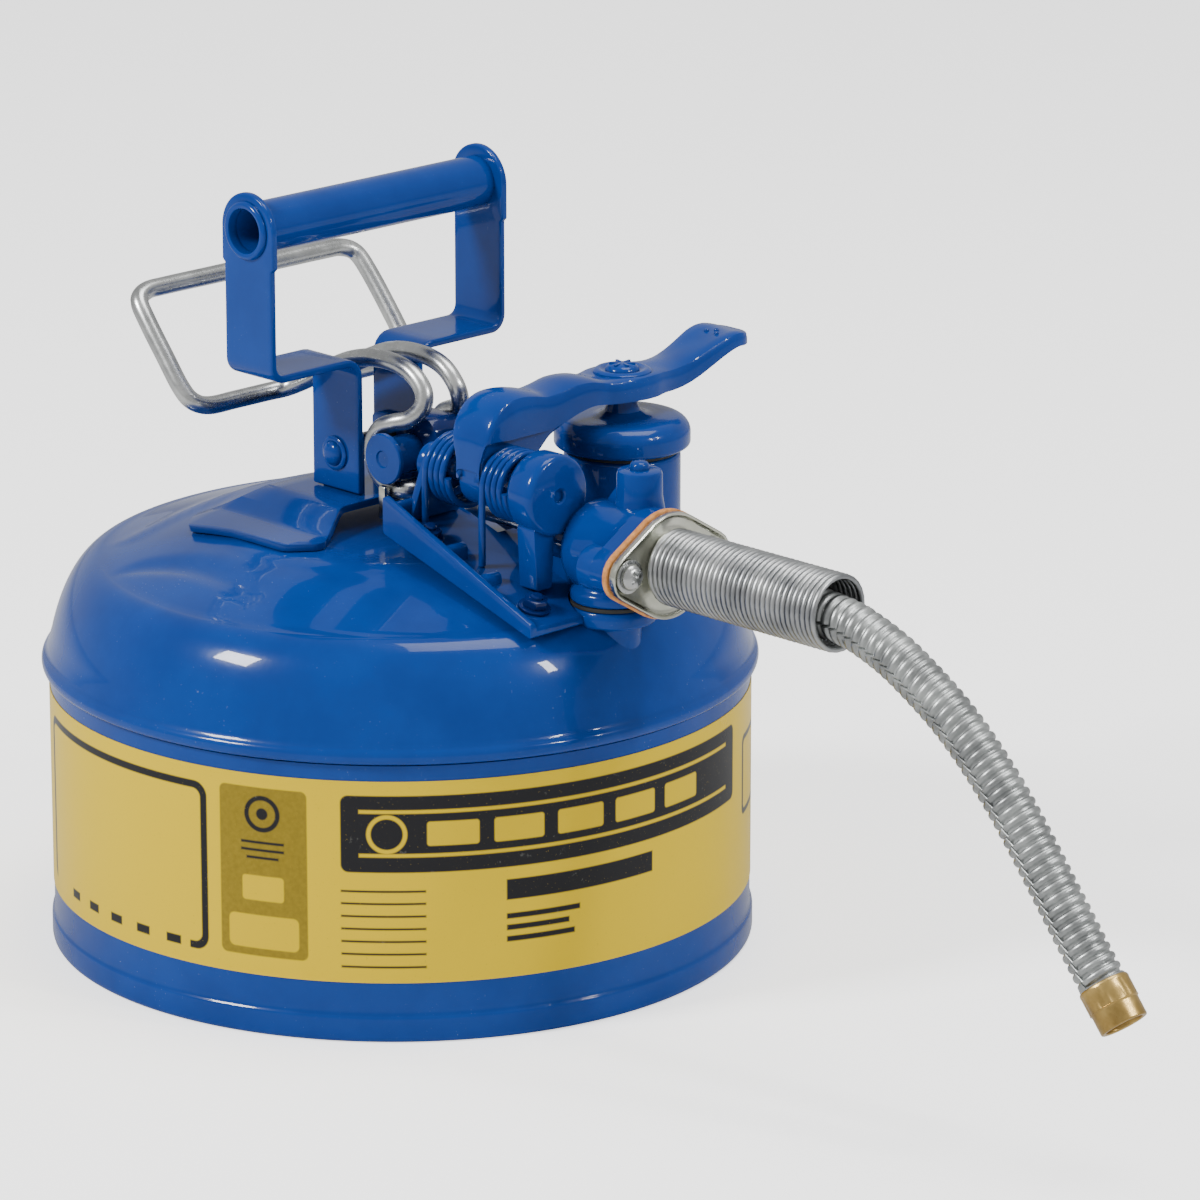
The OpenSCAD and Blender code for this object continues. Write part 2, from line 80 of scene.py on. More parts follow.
class Finish:
    """A material under construction, with one method that makes any node."""

    def __init__(self, name, **fixed):
        self.material = bpy.data.materials.new(name)
        self.material.use_nodes = True
        self.tree = self.material.node_tree
        self.shader = self.tree.nodes["Principled BSDF"]
        for socket, value in fixed.items():
            self.shader.inputs[socket.replace("_", " ")].default_value = value
        self.place = self.node("TexCoord", output="Object")

    def node(self, kind, settings=None, output=0, **inputs):
        made = self.tree.nodes.new("ShaderNode" + kind)
        for key, value in (settings or {}).items():
            if key == "stops":
                ramp = made.color_ramp.elements
                for at, colour in value[2:]:
                    ramp.new(at)
                for element, (at, colour) in zip(ramp, sorted(value)):
                    element.position, element.color = at, (*colour, 1)
            else:
                setattr(made, key, value)
        for key, value in inputs.items():
            number = key[0] == "i" and key[1:].isdigit()
            socket = made.inputs[int(key[1:]) if number else key.replace("_", " ")]
            if isinstance(value, Value):
                self.tree.links.new(value.socket, socket)
            else:
                socket.default_value = value
        return Value(self, made.outputs[output])

    def math(self, operation, a, b=0.0):
        return self.node("Math", {"operation": operation}, i0=a, i1=b)

    def grain(self, scale, detail=3.0, rough=0.5, at=None):
        return self.node("TexNoise", Vector=at or self.place, Scale=scale, Detail=detail, Roughness=rough)

    def mix(self, factor, a, b):
        a, b = [(*c, 1) if isinstance(c, tuple) and len(c) == 3 else c for c in (a, b)]
        return self.node("Mix", {"data_type": "RGBA"}, 2, i0=factor, i6=a, i7=b)

    def bump(self, height, distance, strength=1.0):
        return self.node("Bump", Height=height, Distance=distance, Strength=strength)

    def done(self, **driven):
        for socket, value in driven.items():
            self.tree.links.new(value.socket, self.shader.inputs[socket.replace("_", " ")])
        return self.material


def metal(name, light, dark, rough, scale=260.0, fixed=None):
    """Bare or plated metal: cloudy colour, fine scratches and uneven polish."""
    made = Finish(name, **(fixed or {"Metallic": 1.0}))
    cloud = made.grain(scale * 0.25, 4.0, 0.6)
    fine = made.grain(scale * 4, 2.0)
    stretched = made.node("Mapping", Vector=made.place, Scale=(40.0, 900.0, 900.0))
    scratches = made.grain(1.0, 2.0, 0.7, stretched)
    return made.done(
        Base_Color=made.mix((cloud - 0.35) * 3.0, dark, light),
        Roughness=(cloud * 0.5 + scratches * 0.5) * rough + rough * 0.45,
        Normal=made.bump(fine * 0.6 + scratches * 0.3, 0.00003, 0.4))


def piece(name, bm, material, nodes=(), body="root", crease=38):
    """Turns a bmesh in millimetres into a smooth-shaded piece that rides on its body."""
    bmesh.ops.remove_doubles(bm, verts=bm.verts, dist=0.0005)
    bmesh.ops.scale(bm, vec=(0.001,) * 3, verts=bm.verts)
    mesh = bpy.data.meshes.new(name)
    bm.to_mesh(mesh)
    bm.free()
    made = bpy.data.objects.new(name, mesh)
    bpy.context.scene.collection.objects.link(made)
    mesh.materials.append(material)
    mesh.shade_smooth()
    mesh.set_sharp_from_angle(angle=math.radians(crease))
    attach(made, body)
    if nodes:
        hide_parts(*nodes)
    return made


def lathe(outline, along="Z", at=(0, 0, 0), steps=96, closed=True):
    """Spins an outline of (radius, distance) points round an axis through a point."""
    bm = bmesh.new()
    verts = [bm.verts.new((radius, 0, height)) for radius, height in outline]
    ends = verts[1:] + verts[:1] if closed else verts[1:]
    edges = [bm.edges.new(pair) for pair in zip(verts, ends)]
    bmesh.ops.spin(bm, geom=verts + edges, axis=(0, 0, 1), cent=(0, 0, 0), angle=math.tau,
                   steps=steps, use_merge=True)
    bmesh.ops.remove_doubles(bm, verts=bm.verts, dist=0.0005)
    bmesh.ops.recalc_face_normals(bm, faces=bm.faces)
    turn = {"Z": Matrix(), "X": Matrix.Rotation(math.pi / 2, 4, "Y"),
            "Y": Matrix.Rotation(-math.pi / 2, 4, "X")}[along]
    bmesh.ops.transform(bm, matrix=Matrix.Translation(at) @ turn, verts=bm.verts)
    return bm


def rounded(corners, radius, steps=3, closed=True):
    """Rounds the corners of an outline of 2-D points."""
    count, points = len(corners), []
    for i, corner in enumerate(corners):
        here = Vector(corner[:2])
        reach = corner[2] if len(corner) > 2 else radius
        if reach <= 0 or (not closed and i in (0, count - 1)):
            points.append(tuple(here))
            continue
        before = Vector(corners[i - 1][:2]) - here
        after = Vector(corners[(i + 1) % count][:2]) - here
        reach = min(reach, before.length * 0.49, after.length * 0.49)
        start, end = here + before.normalized() * reach, here + after.normalized() * reach
        for k in range(steps + 1):
            t = k / steps
            points.append(tuple(start * (1 - t) ** 2 + here * (2 * t * (1 - t)) + end * t ** 2))
    return points


hose_route = [Vector((x, 0, z)) for x, z in (
    (126, 153.5), (150, 153.5), (180, 153.3), (205, 151.5), (216, 149), (228, 144.5), (240, 138),
    (251, 131), (261, 123), (270, 114.5), (278, 106), (286, 96.5), (294, 86.5), (302, 76.5),
    (310, 66.5), (317, 58))]


def curve_through(points, steps=6):
    """Points on a smooth curve through the given ones."""
    out = []
    for i in range(len(points) - 1):
        p0, p1, p2, p3 = (points[max(0, min(len(points) - 1, i + k))] for k in (-1, 0, 1, 2))
        for k in range(steps):
            t = k / steps
            out.append(0.5 * (2 * p1 + (p2 - p0) * t + (2 * p0 - 5 * p1 + 4 * p2 - p3) * t * t
                              + (3 * p1 - p0 - 3 * p2 + p3) * t ** 3))
    return out + [points[-1]]


hose_line = curve_through(hose_route)
hose_steps = [0.0]
for a, b in zip(hose_line, hose_line[1:]):
    hose_steps.append(hose_steps[-1] + (b - a).length)
hose_length = hose_steps[-1]


def on_hose(distance):
    """Place and direction at a distance along the hose."""
    i = max(k for k in range(len(hose_line) - 1) if hose_steps[k] <= max(distance, 0.0))
    step = hose_line[i + 1] - hose_line[i]
    before = hose_line[i] - hose_line[max(i - 1, 0)] if i else step
    share = (distance - hose_steps[i]) / step.length
    return hose_line[i] + step * share, (before.lerp(step, 0.5 + share / 2)).normalized()


rib_pitch = 3.35
rib_count = round((hose_length - 1) / rib_pitch)
rib = hose_length / rib_count
hose_radius = 7.7
wall = []
for n in range(rib_count):
    for share, depth in ((0.0, 1.05), (0.1, 1.05), (0.17, 0.5), (0.3, 0.12), (0.48, 0.0),
                         (0.66, 0.12), (0.8, 0.42), (0.86, 0.9)):
        wall.append((hose_radius - depth, (n + share) * rib))
wall.append((hose_radius - 1.05, hose_length))
wall += [(hose_radius - 2.2, n * rib) for n in range(rib_count, -1, -1)]
hose_bm = lathe(wall, "X", steps=40)
for vert in hose_bm.verts:
    # a slight twist of the rib round the hose gives the winding of the strip
    turn = math.atan2(vert.co.z, vert.co.y) / math.tau
    inside = 2 < vert.co.x < hose_length - 2
    centre, way = on_hose(vert.co.x + (turn * rib * (1 if inside else 0)))
    vert.co = centre + Vector((0, vert.co.y, 0)) + Vector((-way.z, 0, way.x)) * vert.co.z
galvanised = metal("galvanised_strip", (0.50, 0.52, 0.51), (0.27, 0.28, 0.28), 0.42, 420.0)
hose = piece("pouring_hose", hose_bm, galvanised, ["hose"], crease=50)

# ---- ferrule on the hose ----
# A turned brass end, crimped on the hose: a collar with a ring of crimp dents, a step, and a
# plain mouth that opens a little.
ferrule_start = hose_length - 1.5
collar = [(6.3, 1), (6.3, 14.4), (6.7, 14.6), (7.6, 14.6), (7.9, 14.3), (7.9, 8.2), (8.1, 7.9),
          (8.4, 7.7), (8.4, 1.2), (8.1, 0.2), (7.0, 0)]
ferrule_bm = lathe(rounded(collar, 0.4, 2), "X", steps=72)
for vert in ferrule_bm.verts:
    spin = math.atan2(vert.co.z, vert.co.y)
    if vert.co.yz.length > 7 and 1.4 < vert.co.x < 7.6:
        flat = 0.94 + 0.05 * abs(math.cos(spin * 3)) ** 0.6
        vert.co.y *= flat
        vert.co.z *= flat
end, way = on_hose(hose_length - 0.001)
tilt = Matrix.Rotation(math.atan2(-way.z, way.x), 4, "Y")
bmesh.ops.transform(ferrule_bm, matrix=Matrix.Translation(end - way * 1.5) @ tilt, verts=ferrule_bm.verts)
brass = metal("brass", (0.66, 0.46, 0.16), (0.36, 0.23, 0.07), 0.34, 300.0)
ferrule = piece("hose_end_ferrule", ferrule_bm, brass, ["hose_ferrule"])

# ---- stiffening spring ----
# A close-wound steel coil, 25 mm across, slid over the first 78 mm of the hose so that the hose
# does not kink at the flange.


def wire(points, radius, sides=8):
    """A round wire along points, as a bmesh with closed ends."""
    data = bpy.data.curves.new("wire", "CURVE")
    data.dimensions = "3D"
    data.bevel_depth = radius
    data.bevel_resolution = sides
    data.use_fill_caps = True
    line = data.splines.new("POLY")
    line.points.add(len(points) - 1)
    for dot, point in zip(line.points, points):
        dot.co = (*point, 1)
    holder = bpy.data.objects.new("wire", data)
    bm = bmesh.new()
    bm.from_mesh(holder.to_mesh())
    holder.to_mesh_clear()
    bpy.data.objects.remove(holder)
    bpy.data.curves.remove(data)
    bmesh.ops.remove_doubles(bm, verts=bm.verts, dist=0.0005)
    bmesh.ops.recalc_face_normals(bm, faces=bm.faces)
    return bm


def coil(x0, x1, radius, turns, steps, y=0.0, z=0.0, start=0.0):
    """Points round an axis along X."""
    count = round(turns * steps)
    spin = [start + math.tau * turns * i / count for i in range(count + 1)]
    return [Vector((x0 + (x1 - x0) * i / count, y + radius * math.cos(a), z + radius * math.sin(a)))
            for i, a in enumerate(spin)]


outlet_z = 153.5
bright = metal("bright_steel", (0.62, 0.63, 0.62), (0.38, 0.39, 0.39), 0.30, 260.0)
spring_steel = metal("spring_steel", (0.50, 0.51, 0.51), (0.27, 0.28, 0.29), 0.36, 300.0)
strain_spring = piece("hose_stiffening_spring", wire(coil(129.9, 204, 11.75, 34, 26, 0, outlet_z), 1.02, 2),
                      spring_steel, ["strain_spring"], crease=60)
path = [tuple(point * 0.001) for point in hose_line]

# ---- floor and lights ----
# A pale floor that fades into a white surround, a big soft box behind the camera's left shoulder
# and two narrow ones on its right, for the highlights on the dome.
floor_paint = Finish("studio_floor", Roughness=0.9, Specular_IOR_Level=0.2, Emission_Strength=1.0)
floor_tone = floor_paint.mix(floor_paint.grain(3.0), (0.90, 0.90, 0.90), (0.94, 0.94, 0.94))
mirrored = floor_paint.node("LightPath", output="Is Glossy Ray")
seen = floor_paint.node("LightPath", output="Is Camera Ray")
floor_finish = floor_paint.done(
    Base_Color=floor_paint.mix(mirrored, floor_tone, (0.55, 0.55, 0.55)),
    Emission_Color=floor_paint.mix(seen, floor_paint.mix(mirrored, (0.2,) * 3, (0.0,) * 3), (1.3,) * 3))
floor_bm = bmesh.new()
bmesh.ops.create_grid(floor_bm, x_segments=2, y_segments=2, size=6.0)
floor_mesh = bpy.data.meshes.new("floor")
floor_bm.to_mesh(floor_mesh)
floor_bm.free()
floor_mesh.materials.append(floor_finish)
floor = bpy.data.objects.new("floor", floor_mesh)
bpy.context.scene.collection.objects.link(floor)

world = bpy.data.worlds.new("surround")
bpy.context.scene.world = world
world.use_nodes = True
surround = world.node_tree.nodes["Background"]
surround.inputs["Color"].default_value = (1.0, 1.0, 1.0, 1)
rays = world.node_tree.nodes.new("ShaderNodeLightPath")
for ray, strength, before in (("Is Glossy Ray", 0.6, None), ("Is Camera Ray", 2.4, "Is Glossy Ray")):
    level = world.node_tree.nodes.new("ShaderNodeMapRange")
    level.inputs["To Min"].default_value, level.inputs["To Max"].default_value = 0.45, strength
    world.node_tree.links.new(rays.outputs[ray], level.inputs["Value"])
    if before:
        world.node_tree.links.new(last, level.inputs["To Min"])
    last = level.outputs["Result"]
world.node_tree.links.new(last, surround.inputs["Strength"])


def soft_box(name, place, target, width, height, power):
    """An area light at a place, turned towards a target."""
    lamp = bpy.data.lights.new(name, "AREA")
    lamp.shape, lamp.size, lamp.size_y, lamp.energy = "RECTANGLE", width, height, power
    holder = bpy.data.objects.new(name, lamp)
    holder.location = place
    holder.rotation_euler = (Vector(target) - Vector(place)).to_track_quat("-Z", "Y").to_euler()
    bpy.context.scene.collection.objects.link(holder)


soft_box("soft_box_left", (-0.55, -1.75, 1.55), (0, 0, 0.1), 0.5, 0.42, 52)
soft_box("soft_box_top", (0.3, 0.4, 1.9), (0, 0, 0.1), 1.0, 1.0, 20)
soft_box("strip_right", (1.75, 0.35, 1.25), (0, 0, 0.1), 0.12, 0.35, 9)
soft_box("strip_right_far", (1.62, 0.75, 1.25), (0, 0, 0.1), 0.10, 0.35, 8)

# ---- tank ----
# Drawn and rolled sheet steel under a thick gloss powder coat: a straight wall on a rolled foot
# ring, and a domed top whose edge is folded over the wall in a bead.


def arc(at, reach, start, stop, steps):
    """Points of an elliptical arc, as (radius, height)."""
    turns = [math.radians(start + (stop - start) * i / steps) for i in range(steps + 1)]
    return [(at[0] + reach[0] * math.cos(a), at[1] + reach[1] * math.sin(a)) for a in turns]


def paint(name, base, shade, crease_shade_amount=0.25, droplets=False):
    """Gloss powder coat: a faint orange peel, slow waves of the sheet, light dust and painted shade in the creases."""
    made = Finish(name, Coat_Weight=0.4, Coat_Roughness=0.025, IOR=1.45, Specular_IOR_Level=0.12)
    peel = made.grain(520.0, 2.0)
    waves = made.grain(14.0, 2.0)
    cloud = made.grain(30.0, 4.0, 0.6)
    dust = made.grain(900.0, 2.0, 0.7).step(0.66, 0.8) * cloud.step(0.45, 0.7)
    # painted shade: the colour darkens towards a much darker tone where the surface is hollow, in creases and corners
    painted_crease_shade = made.node("NewGeometry", output="Pointiness").step(0.44, 0.5)
    colour = made.mix(cloud.step(0.3, 0.75), shade, base)
    colour = made.mix((1 - painted_crease_shade) * crease_shade_amount, colour, tuple(c * 0.25 for c in shade))
    colour = made.mix(dust * 0.22, colour, (0.45, 0.52, 0.60))
    relief = peel * 0.3 + waves * 2.5
    return made.done(
        Base_Color=colour,
        Roughness=cloud * 0.08 + dust * 0.3 + 0.16,
        Normal=made.bump(relief, 0.00010, 0.6))


blue = paint("blue_powder_coat", (0.0, 0.040, 0.238), (0.0, 0.030, 0.190))
shell_line = [(112.5, 1.0), (112.8, 0.3)] + arc((117.0, 2.0), (2.0, 2.0), -90, 0, 4) + [(119.0, 7.6)] + \
    arc((118.4, 7.6), (0.6, 1.6), 0, 90, 3) + [(118.15, 10.0), (118.0, 11.6), (118.0, 20), (118.0, 60),
    (118.0, 94.2), (117.0, 94.2), (117.0, 60), (117.0, 9.0), (116.2, 2.4), (113.2, 1.6)]
tank_shell = piece("tank_shell", lathe(shell_line, steps=256), blue, ["tank_shell"])
bottom_line = [(0, 7), (90, 7), (108, 6.6)] + arc((113.6, 4.6), (1.8, 2.4), 90, 0, 3) + \
    [(115.4, 1.0), (116.4, 1.0), (116.4, 7.0), (115.6, 8.0), (108, 8.0), (0, 8.0)]
tank_bottom = piece("tank_bottom", lathe(bottom_line, steps=160, closed=False), blue, ["tank_bottom"])

bead = arc((118.9, 97.4), (1.7, 2.5), -75, 60, 8)
dome_line = [(117.0, 95.4), (118.1, 95.0)] + bead + [(118.9, 100.4), (118.45, 101.8), (117.9, 103.6)]
dome_line += [(99.6 + 20.4 * math.cos(a), 79.3 + 52.7 * math.sin(a))
              for a in (math.radians(27.8 + 62.2 * i / 26) for i in range(1, 27))]
dome_line += [(99.6 - 3.3 * i, 132 + 12.2 * i / 12 - 0.5 * math.exp(-((i - 11) / 1.6) ** 2)) for i in range(1, 12)]
dome_line += [(60 - 4.0 * i, 144.2 - 0.28 * math.exp(-i * 0.9)) for i in range(0, 15)] + [(0, 144.2)]
dome_bm = lathe(dome_line, steps=288, closed=False)
for vert in dome_bm.verts:
    x, y, z = vert.co
    if z > 120:
        # shallow pressed crescent in front of the near foot, and a low rib behind it
        along = (x + 12) * 0.94 + (y + 72) * 0.10
        over = (y + 76.5) + 0.0065 * (x + 12) ** 2
        inside = max(0.0, 1 - (along / 31) ** 2) ** 0.5
        vert.co.z -= 1.5 * inside * math.exp(-(over / 4.6) ** 4)
        rib = max(0.0, 1 - ((y + 4) / 62) ** 2) ** 0.4 * math.exp(-((x + 66) / 4.0) ** 2)
        vert.co.z += 1.0 * rib
bmesh.ops.solidify(dome_bm, geom=dome_bm.faces, thickness=1.0)


def cut(made, cutter, operation="DIFFERENCE", shells=False):
    """Applies a boolean of another bmesh, in millimetres, to a finished piece."""
    bmesh.ops.scale(cutter, vec=(0.001,) * 3, verts=cutter.verts)
    mesh = bpy.data.meshes.new("cutter")
    cutter.to_mesh(mesh)
    cutter.free()
    tool = bpy.data.objects.new("cutter", mesh)
    bpy.context.scene.collection.objects.link(tool)
    change = made.modifiers.new("cut", "BOOLEAN")
    change.operation, change.object, change.solver = operation, tool, "EXACT"
    change.use_self = shells
    bpy.context.view_layer.update()
    solid = bpy.data.meshes.new_from_object(made.evaluated_get(bpy.context.evaluated_depsgraph_get()))
    made.modifiers.clear()
    made.data = solid
    solid.shade_smooth()
    solid.set_sharp_from_angle(angle=math.radians(38))
    bpy.data.objects.remove(tool)


neck_x, neck_y, neck_r = 59, 46.5, 19.5
tank_dome = piece("tank_dome", dome_bm, blue, ["tank_dome"])
cut(tank_dome, lathe([(0, 110), (neck_r - 0.2, 110), (neck_r - 0.2, 160), (0, 160)], at=(neck_x, neck_y, 0),
                     steps=64, closed=False))
cut(tank_dome, lathe([(0, 110), (8.6, 110), (8.6, 160), (0, 160)], at=(102, 0, 0), steps=64, closed=False))
pad = lathe(rounded([(7, 112), (9.6, 112), (9.6, 129.0), (14.3, 130.2), (14.5, 133.6), (13.6, 135.7), (7, 135.7)], 0.8),
            at=(102, 0, 0), steps=64)
piece("outlet_pad", pad, blue)

# ---- printed band ----
# A gloss printed wrap on the tank wall: a yellow ground with a ruled write-in frame, an olive
# panel of plain symbols and a black banner over blank ruled rows. It carries no words or marks.
band = Finish("printed_band", Coat_Weight=0.08, Coat_Roughness=0.05, Specular_IOR_Level=0.15)
height = band.node("SeparateXYZ", output="Z", Vector=band.place) * 1000.0
east = band.node("SeparateXYZ", output="X", Vector=band.place)
north = band.node("SeparateXYZ", output="Y", Vector=band.place)
# millimetres round the wall, from the middle of the camera's side
front = math.radians(-42.7)
round_wall = band.math("ARCTAN2", north * math.cos(front) - east * math.sin(front),
                       east * math.cos(front) + north * math.sin(front)) * 118.0


def block(left, right, low, high, corner=0.0, fade=0.35):
    """A mask, 1 inside a rounded rectangle on the wall, in millimetres round and up."""
    u = abs(round_wall - (left + right) / 2) - ((right - left) / 2 - corner)
    v = abs(height - (low + high) / 2) - ((high - low) / 2 - corner)
    if corner <= 0:
        return 1 - u.max(v).step(-fade, fade)
    u, v = u.max(0.0), v.max(0.0)
    return 1 - band.math("SQRT", u * u + v * v).step(corner - fade, corner + fade)


def disc(u, v, radius, fade=0.35):
    du, dv = round_wall - u, height - v
    return 1 - band.math("SQRT", du * du + dv * dv).step(radius - fade, radius + fade)


def any_of(masks):
    total = masks[0]
    for mask in masks[1:]:
        total = total.max(mask)
    return total


ink = (0.012, 0.012, 0.014)
sheet = band.grain(9.0, 3.0)
yellow = (0.60, 0.415, 0.0)
colour = band.mix(sheet, yellow, (0.66, 0.46, 0.0))
olive = block(-61.5, -31.0, 27.0, 84.5, 2.2)
speckle = band.grain(700.0, 2.0)
colour = band.mix(olive, colour, band.mix(speckle, (0.17, 0.12, 0.005), (0.27, 0.19, 0.012)))
frame_line = block(-163.0, -66.5, 25.8, 83.5, 5.0) * (1 - block(-160.4, -69.1, 28.4, 80.9, 3.0)) \
    * (1 - block(-160.0, -74.0, 20.0, 32.0))
dashes = any_of([block(u, u + 6.2, 26.0, 29.0) for u in (-84, -98, -112, -126, -140)])
dark = any_of([
    frame_line, dashes, block(-20.0, 141.0, 58.2, 84.2, 2.6),
    disc(-46.3, 75.6, 6.2) * (1 - disc(-46.3, 75.6, 4.6)), disc(-46.3, 75.6, 2.0),
    *[block(-46.3 - w, -46.3 + w, z, z + 0.9) for w, z in ((7.5, 65.4), (7.5, 62.8), (5.6, 60.2))],
    *[block(-20.0, 7.5, z, z + 0.75) for z in (51.4, 47.2, 42.9, 38.6, 34.3, 30.0, 25.6)],
    *[block(34.0, 34.0 + w, z, z + t) for w, z, t in ((56, 47.0, 7.0), (26, 40.5, 1.9), (22, 36.6, 1.9),
                                                      (24, 32.7, 1.9))],
    block(152.0, 176.0, 48.0, 76.0, 3.0) * (1 - block(154.0, 174.0, 50.0, 74.0, 2.0))])
light = any_of([
    block(-53.5, -39.0, 46.0, 54.5, 1.2), block(-58.5, -34.0, 29.6, 41.0, 2.0),
    *[block(-14.0, 134.0, z, z + t) for z, t in ((63.4, 1.2), (78.2, 1.2))],
    *[block(u, u + 17, 67.2, 75.4, 1.0) for u in (8, 30, 52, 74, 96)],
    disc(-5.0, 71.2, 6.6) * (1 - disc(-5.0, 71.2, 5.2))])
scuff = band.grain(160.0, 5.0, 0.75).step(0.62, 0.70)
colour = band.mix(dark, colour, band.mix(scuff * 0.55, ink, (0.10, 0.10, 0.09)))
colour = band.mix(light, colour, yellow)
colour = band.mix(band.grain(1500.0, 1.0).step(0.70, 0.78) * 0.35, colour, (0.35, 0.24, 0.02))
band_finish = band.done(Base_Color=colour, Roughness=sheet * 0.15 + scuff * dark * 0.2 + 0.22,
                        Normal=band.bump(dark * 0.5 + band.grain(500.0, 2.0) * 0.2, 0.00005, 0.5))
band_bm = lathe([(118.02, 20.5), (118.25, 20.5), (118.25, 89), (118.02, 89)], steps=256)
printed_band = piece("printed_band", band_bm, band_finish, ["printed_band"], crease=60)

# ---- handle bracket ----
# One pressed strip of 2.5 mm sheet over the top of the dome: two flat feet welded to the tank,
# sloping sides and a raised flat top with two upright tabs for the handle's legs.


def soften(bm, width, segments=2, sharpest=32):
    """Bevels the sharp edges of a closed shape."""
    edges = [e for e in bm.edges if len(e.link_faces) == 2 and e.calc_face_angle(0) > math.radians(sharpest)]
    bmesh.ops.bevel(bm, geom=edges, offset=width, offset_type="OFFSET", segments=segments, profile=0.5,
                    affect="EDGES", material=-1, clamp_overlap=True)
    return bm


def slab(outline, start, stop, across="X", bevel=0.5, segments=2):
    """Thickens an outline of 2-D points along an axis, and bevels its edges."""
    bm = bmesh.new()
    bm.faces.new([bm.verts.new((u, v, start)) for u, v in outline])
    grown = bmesh.ops.extrude_face_region(bm, geom=bm.faces[:])["geom"]
    bmesh.ops.translate(bm, vec=(0, 0, stop - start), verts=[g for g in grown if isinstance(g, bmesh.types.BMVert)])
    # X reads the outline as (y, z), Y as (x, z), Z as (x, y)
    turn = {"X": Matrix(((0, 0, 1, 0), (1, 0, 0, 0), (0, 1, 0, 0), (0, 0, 0, 1))),
            "Y": Matrix(((1, 0, 0, 0), (0, 0, 1, 0), (0, 1, 0, 0), (0, 0, 0, 1))), "Z": Matrix()}[across]
    bmesh.ops.transform(bm, matrix=turn, verts=bm.verts)
    bmesh.ops.recalc_face_normals(bm, faces=bm.faces)
    return soften(bm, bevel, segments) if bevel else bm


def joined(*parts):
    """One bmesh of several."""
    whole = parts[0]
    for part in parts[1:]:
        carrier = bpy.data.meshes.new("carrier")
        part.to_mesh(carrier)
        part.free()
        whole.from_mesh(carrier)
        bpy.data.meshes.remove(carrier)
    return whole


grip_x, grip_z, panel_y, leg_y, strap = -15.0, 248.5, 53.0, 15.0, 2.5
bracket_plan = [(-47, -50), (-41, -57.5), (6, -57.5), (13, -49), (13, -46), (1.5, -27), (1.5, 27), (13, 46), (13, 49),
                (6, 57.5), (-41, 57.5), (-47, 50), (-47, 46), (-36, 27), (-36, -27), (-47, -46)]
saddle = bmesh.new()
saddle.faces.new([saddle.verts.new((x, y, 0)) for x, y in rounded(bracket_plan, 2.2, 3)])
for level in (-56, -50, -45, -43, -41.5, -40, -38, -34, -30, -28.5, -27, -25.5, -23, 0, 23, 25.5, 27, 28.5, 30, 34, 38,
              40, 41.5, 43, 45, 50, 56):
    bmesh.ops.bisect_plane(saddle, geom=saddle.verts[:] + saddle.edges[:] + saddle.faces[:],
                           plane_co=(0, level, 0), plane_no=(0, 1, 0))
for level in (-40, -30, -20, -10, 0, 6):
    bmesh.ops.bisect_plane(saddle, geom=saddle.verts[:] + saddle.edges[:] + saddle.faces[:],
                           plane_co=(level, 0, 0), plane_no=(1, 0, 0))
for vert in saddle.verts:
    far = abs(vert.co.y)
    slope = min(max((far - 26.5) / 15.5, 0), 1)
    slope = slope * slope * (3 - 2 * slope) * 0.35 + slope * 0.65
    foot = 144.5 - max(0, math.hypot(vert.co.x, vert.co.y) - 60) * 0.26
    vert.co.z = 150.7 * (1 - slope) + foot * slope
bmesh.ops.recalc_face_normals(saddle, faces=saddle.faces)
if sum(f.normal.z for f in saddle.faces) < 0:
    bmesh.ops.reverse_faces(saddle, faces=saddle.faces)
bmesh.ops.solidify(saddle, geom=saddle.faces, thickness=-2.3)
soften(saddle, 0.55, 2, 55)
tabs = [slab(rounded([(-24, 151.5), (-6, 151.5), (-6, 173), (-9, 174.5), (-21, 174.5), (-24, 173)], 1.0), y, y + strap, "Y")
        for y in (-12.5, 10)]
saddle_bracket = piece("saddle_bracket", joined(saddle, *tabs), blue, ["saddle_bracket"])

# ---- carrying handle ----
# Two straps of the same sheet, each bent out from a leg into an upright side with a round top,
# and a tube between them that is flared over at its ends.


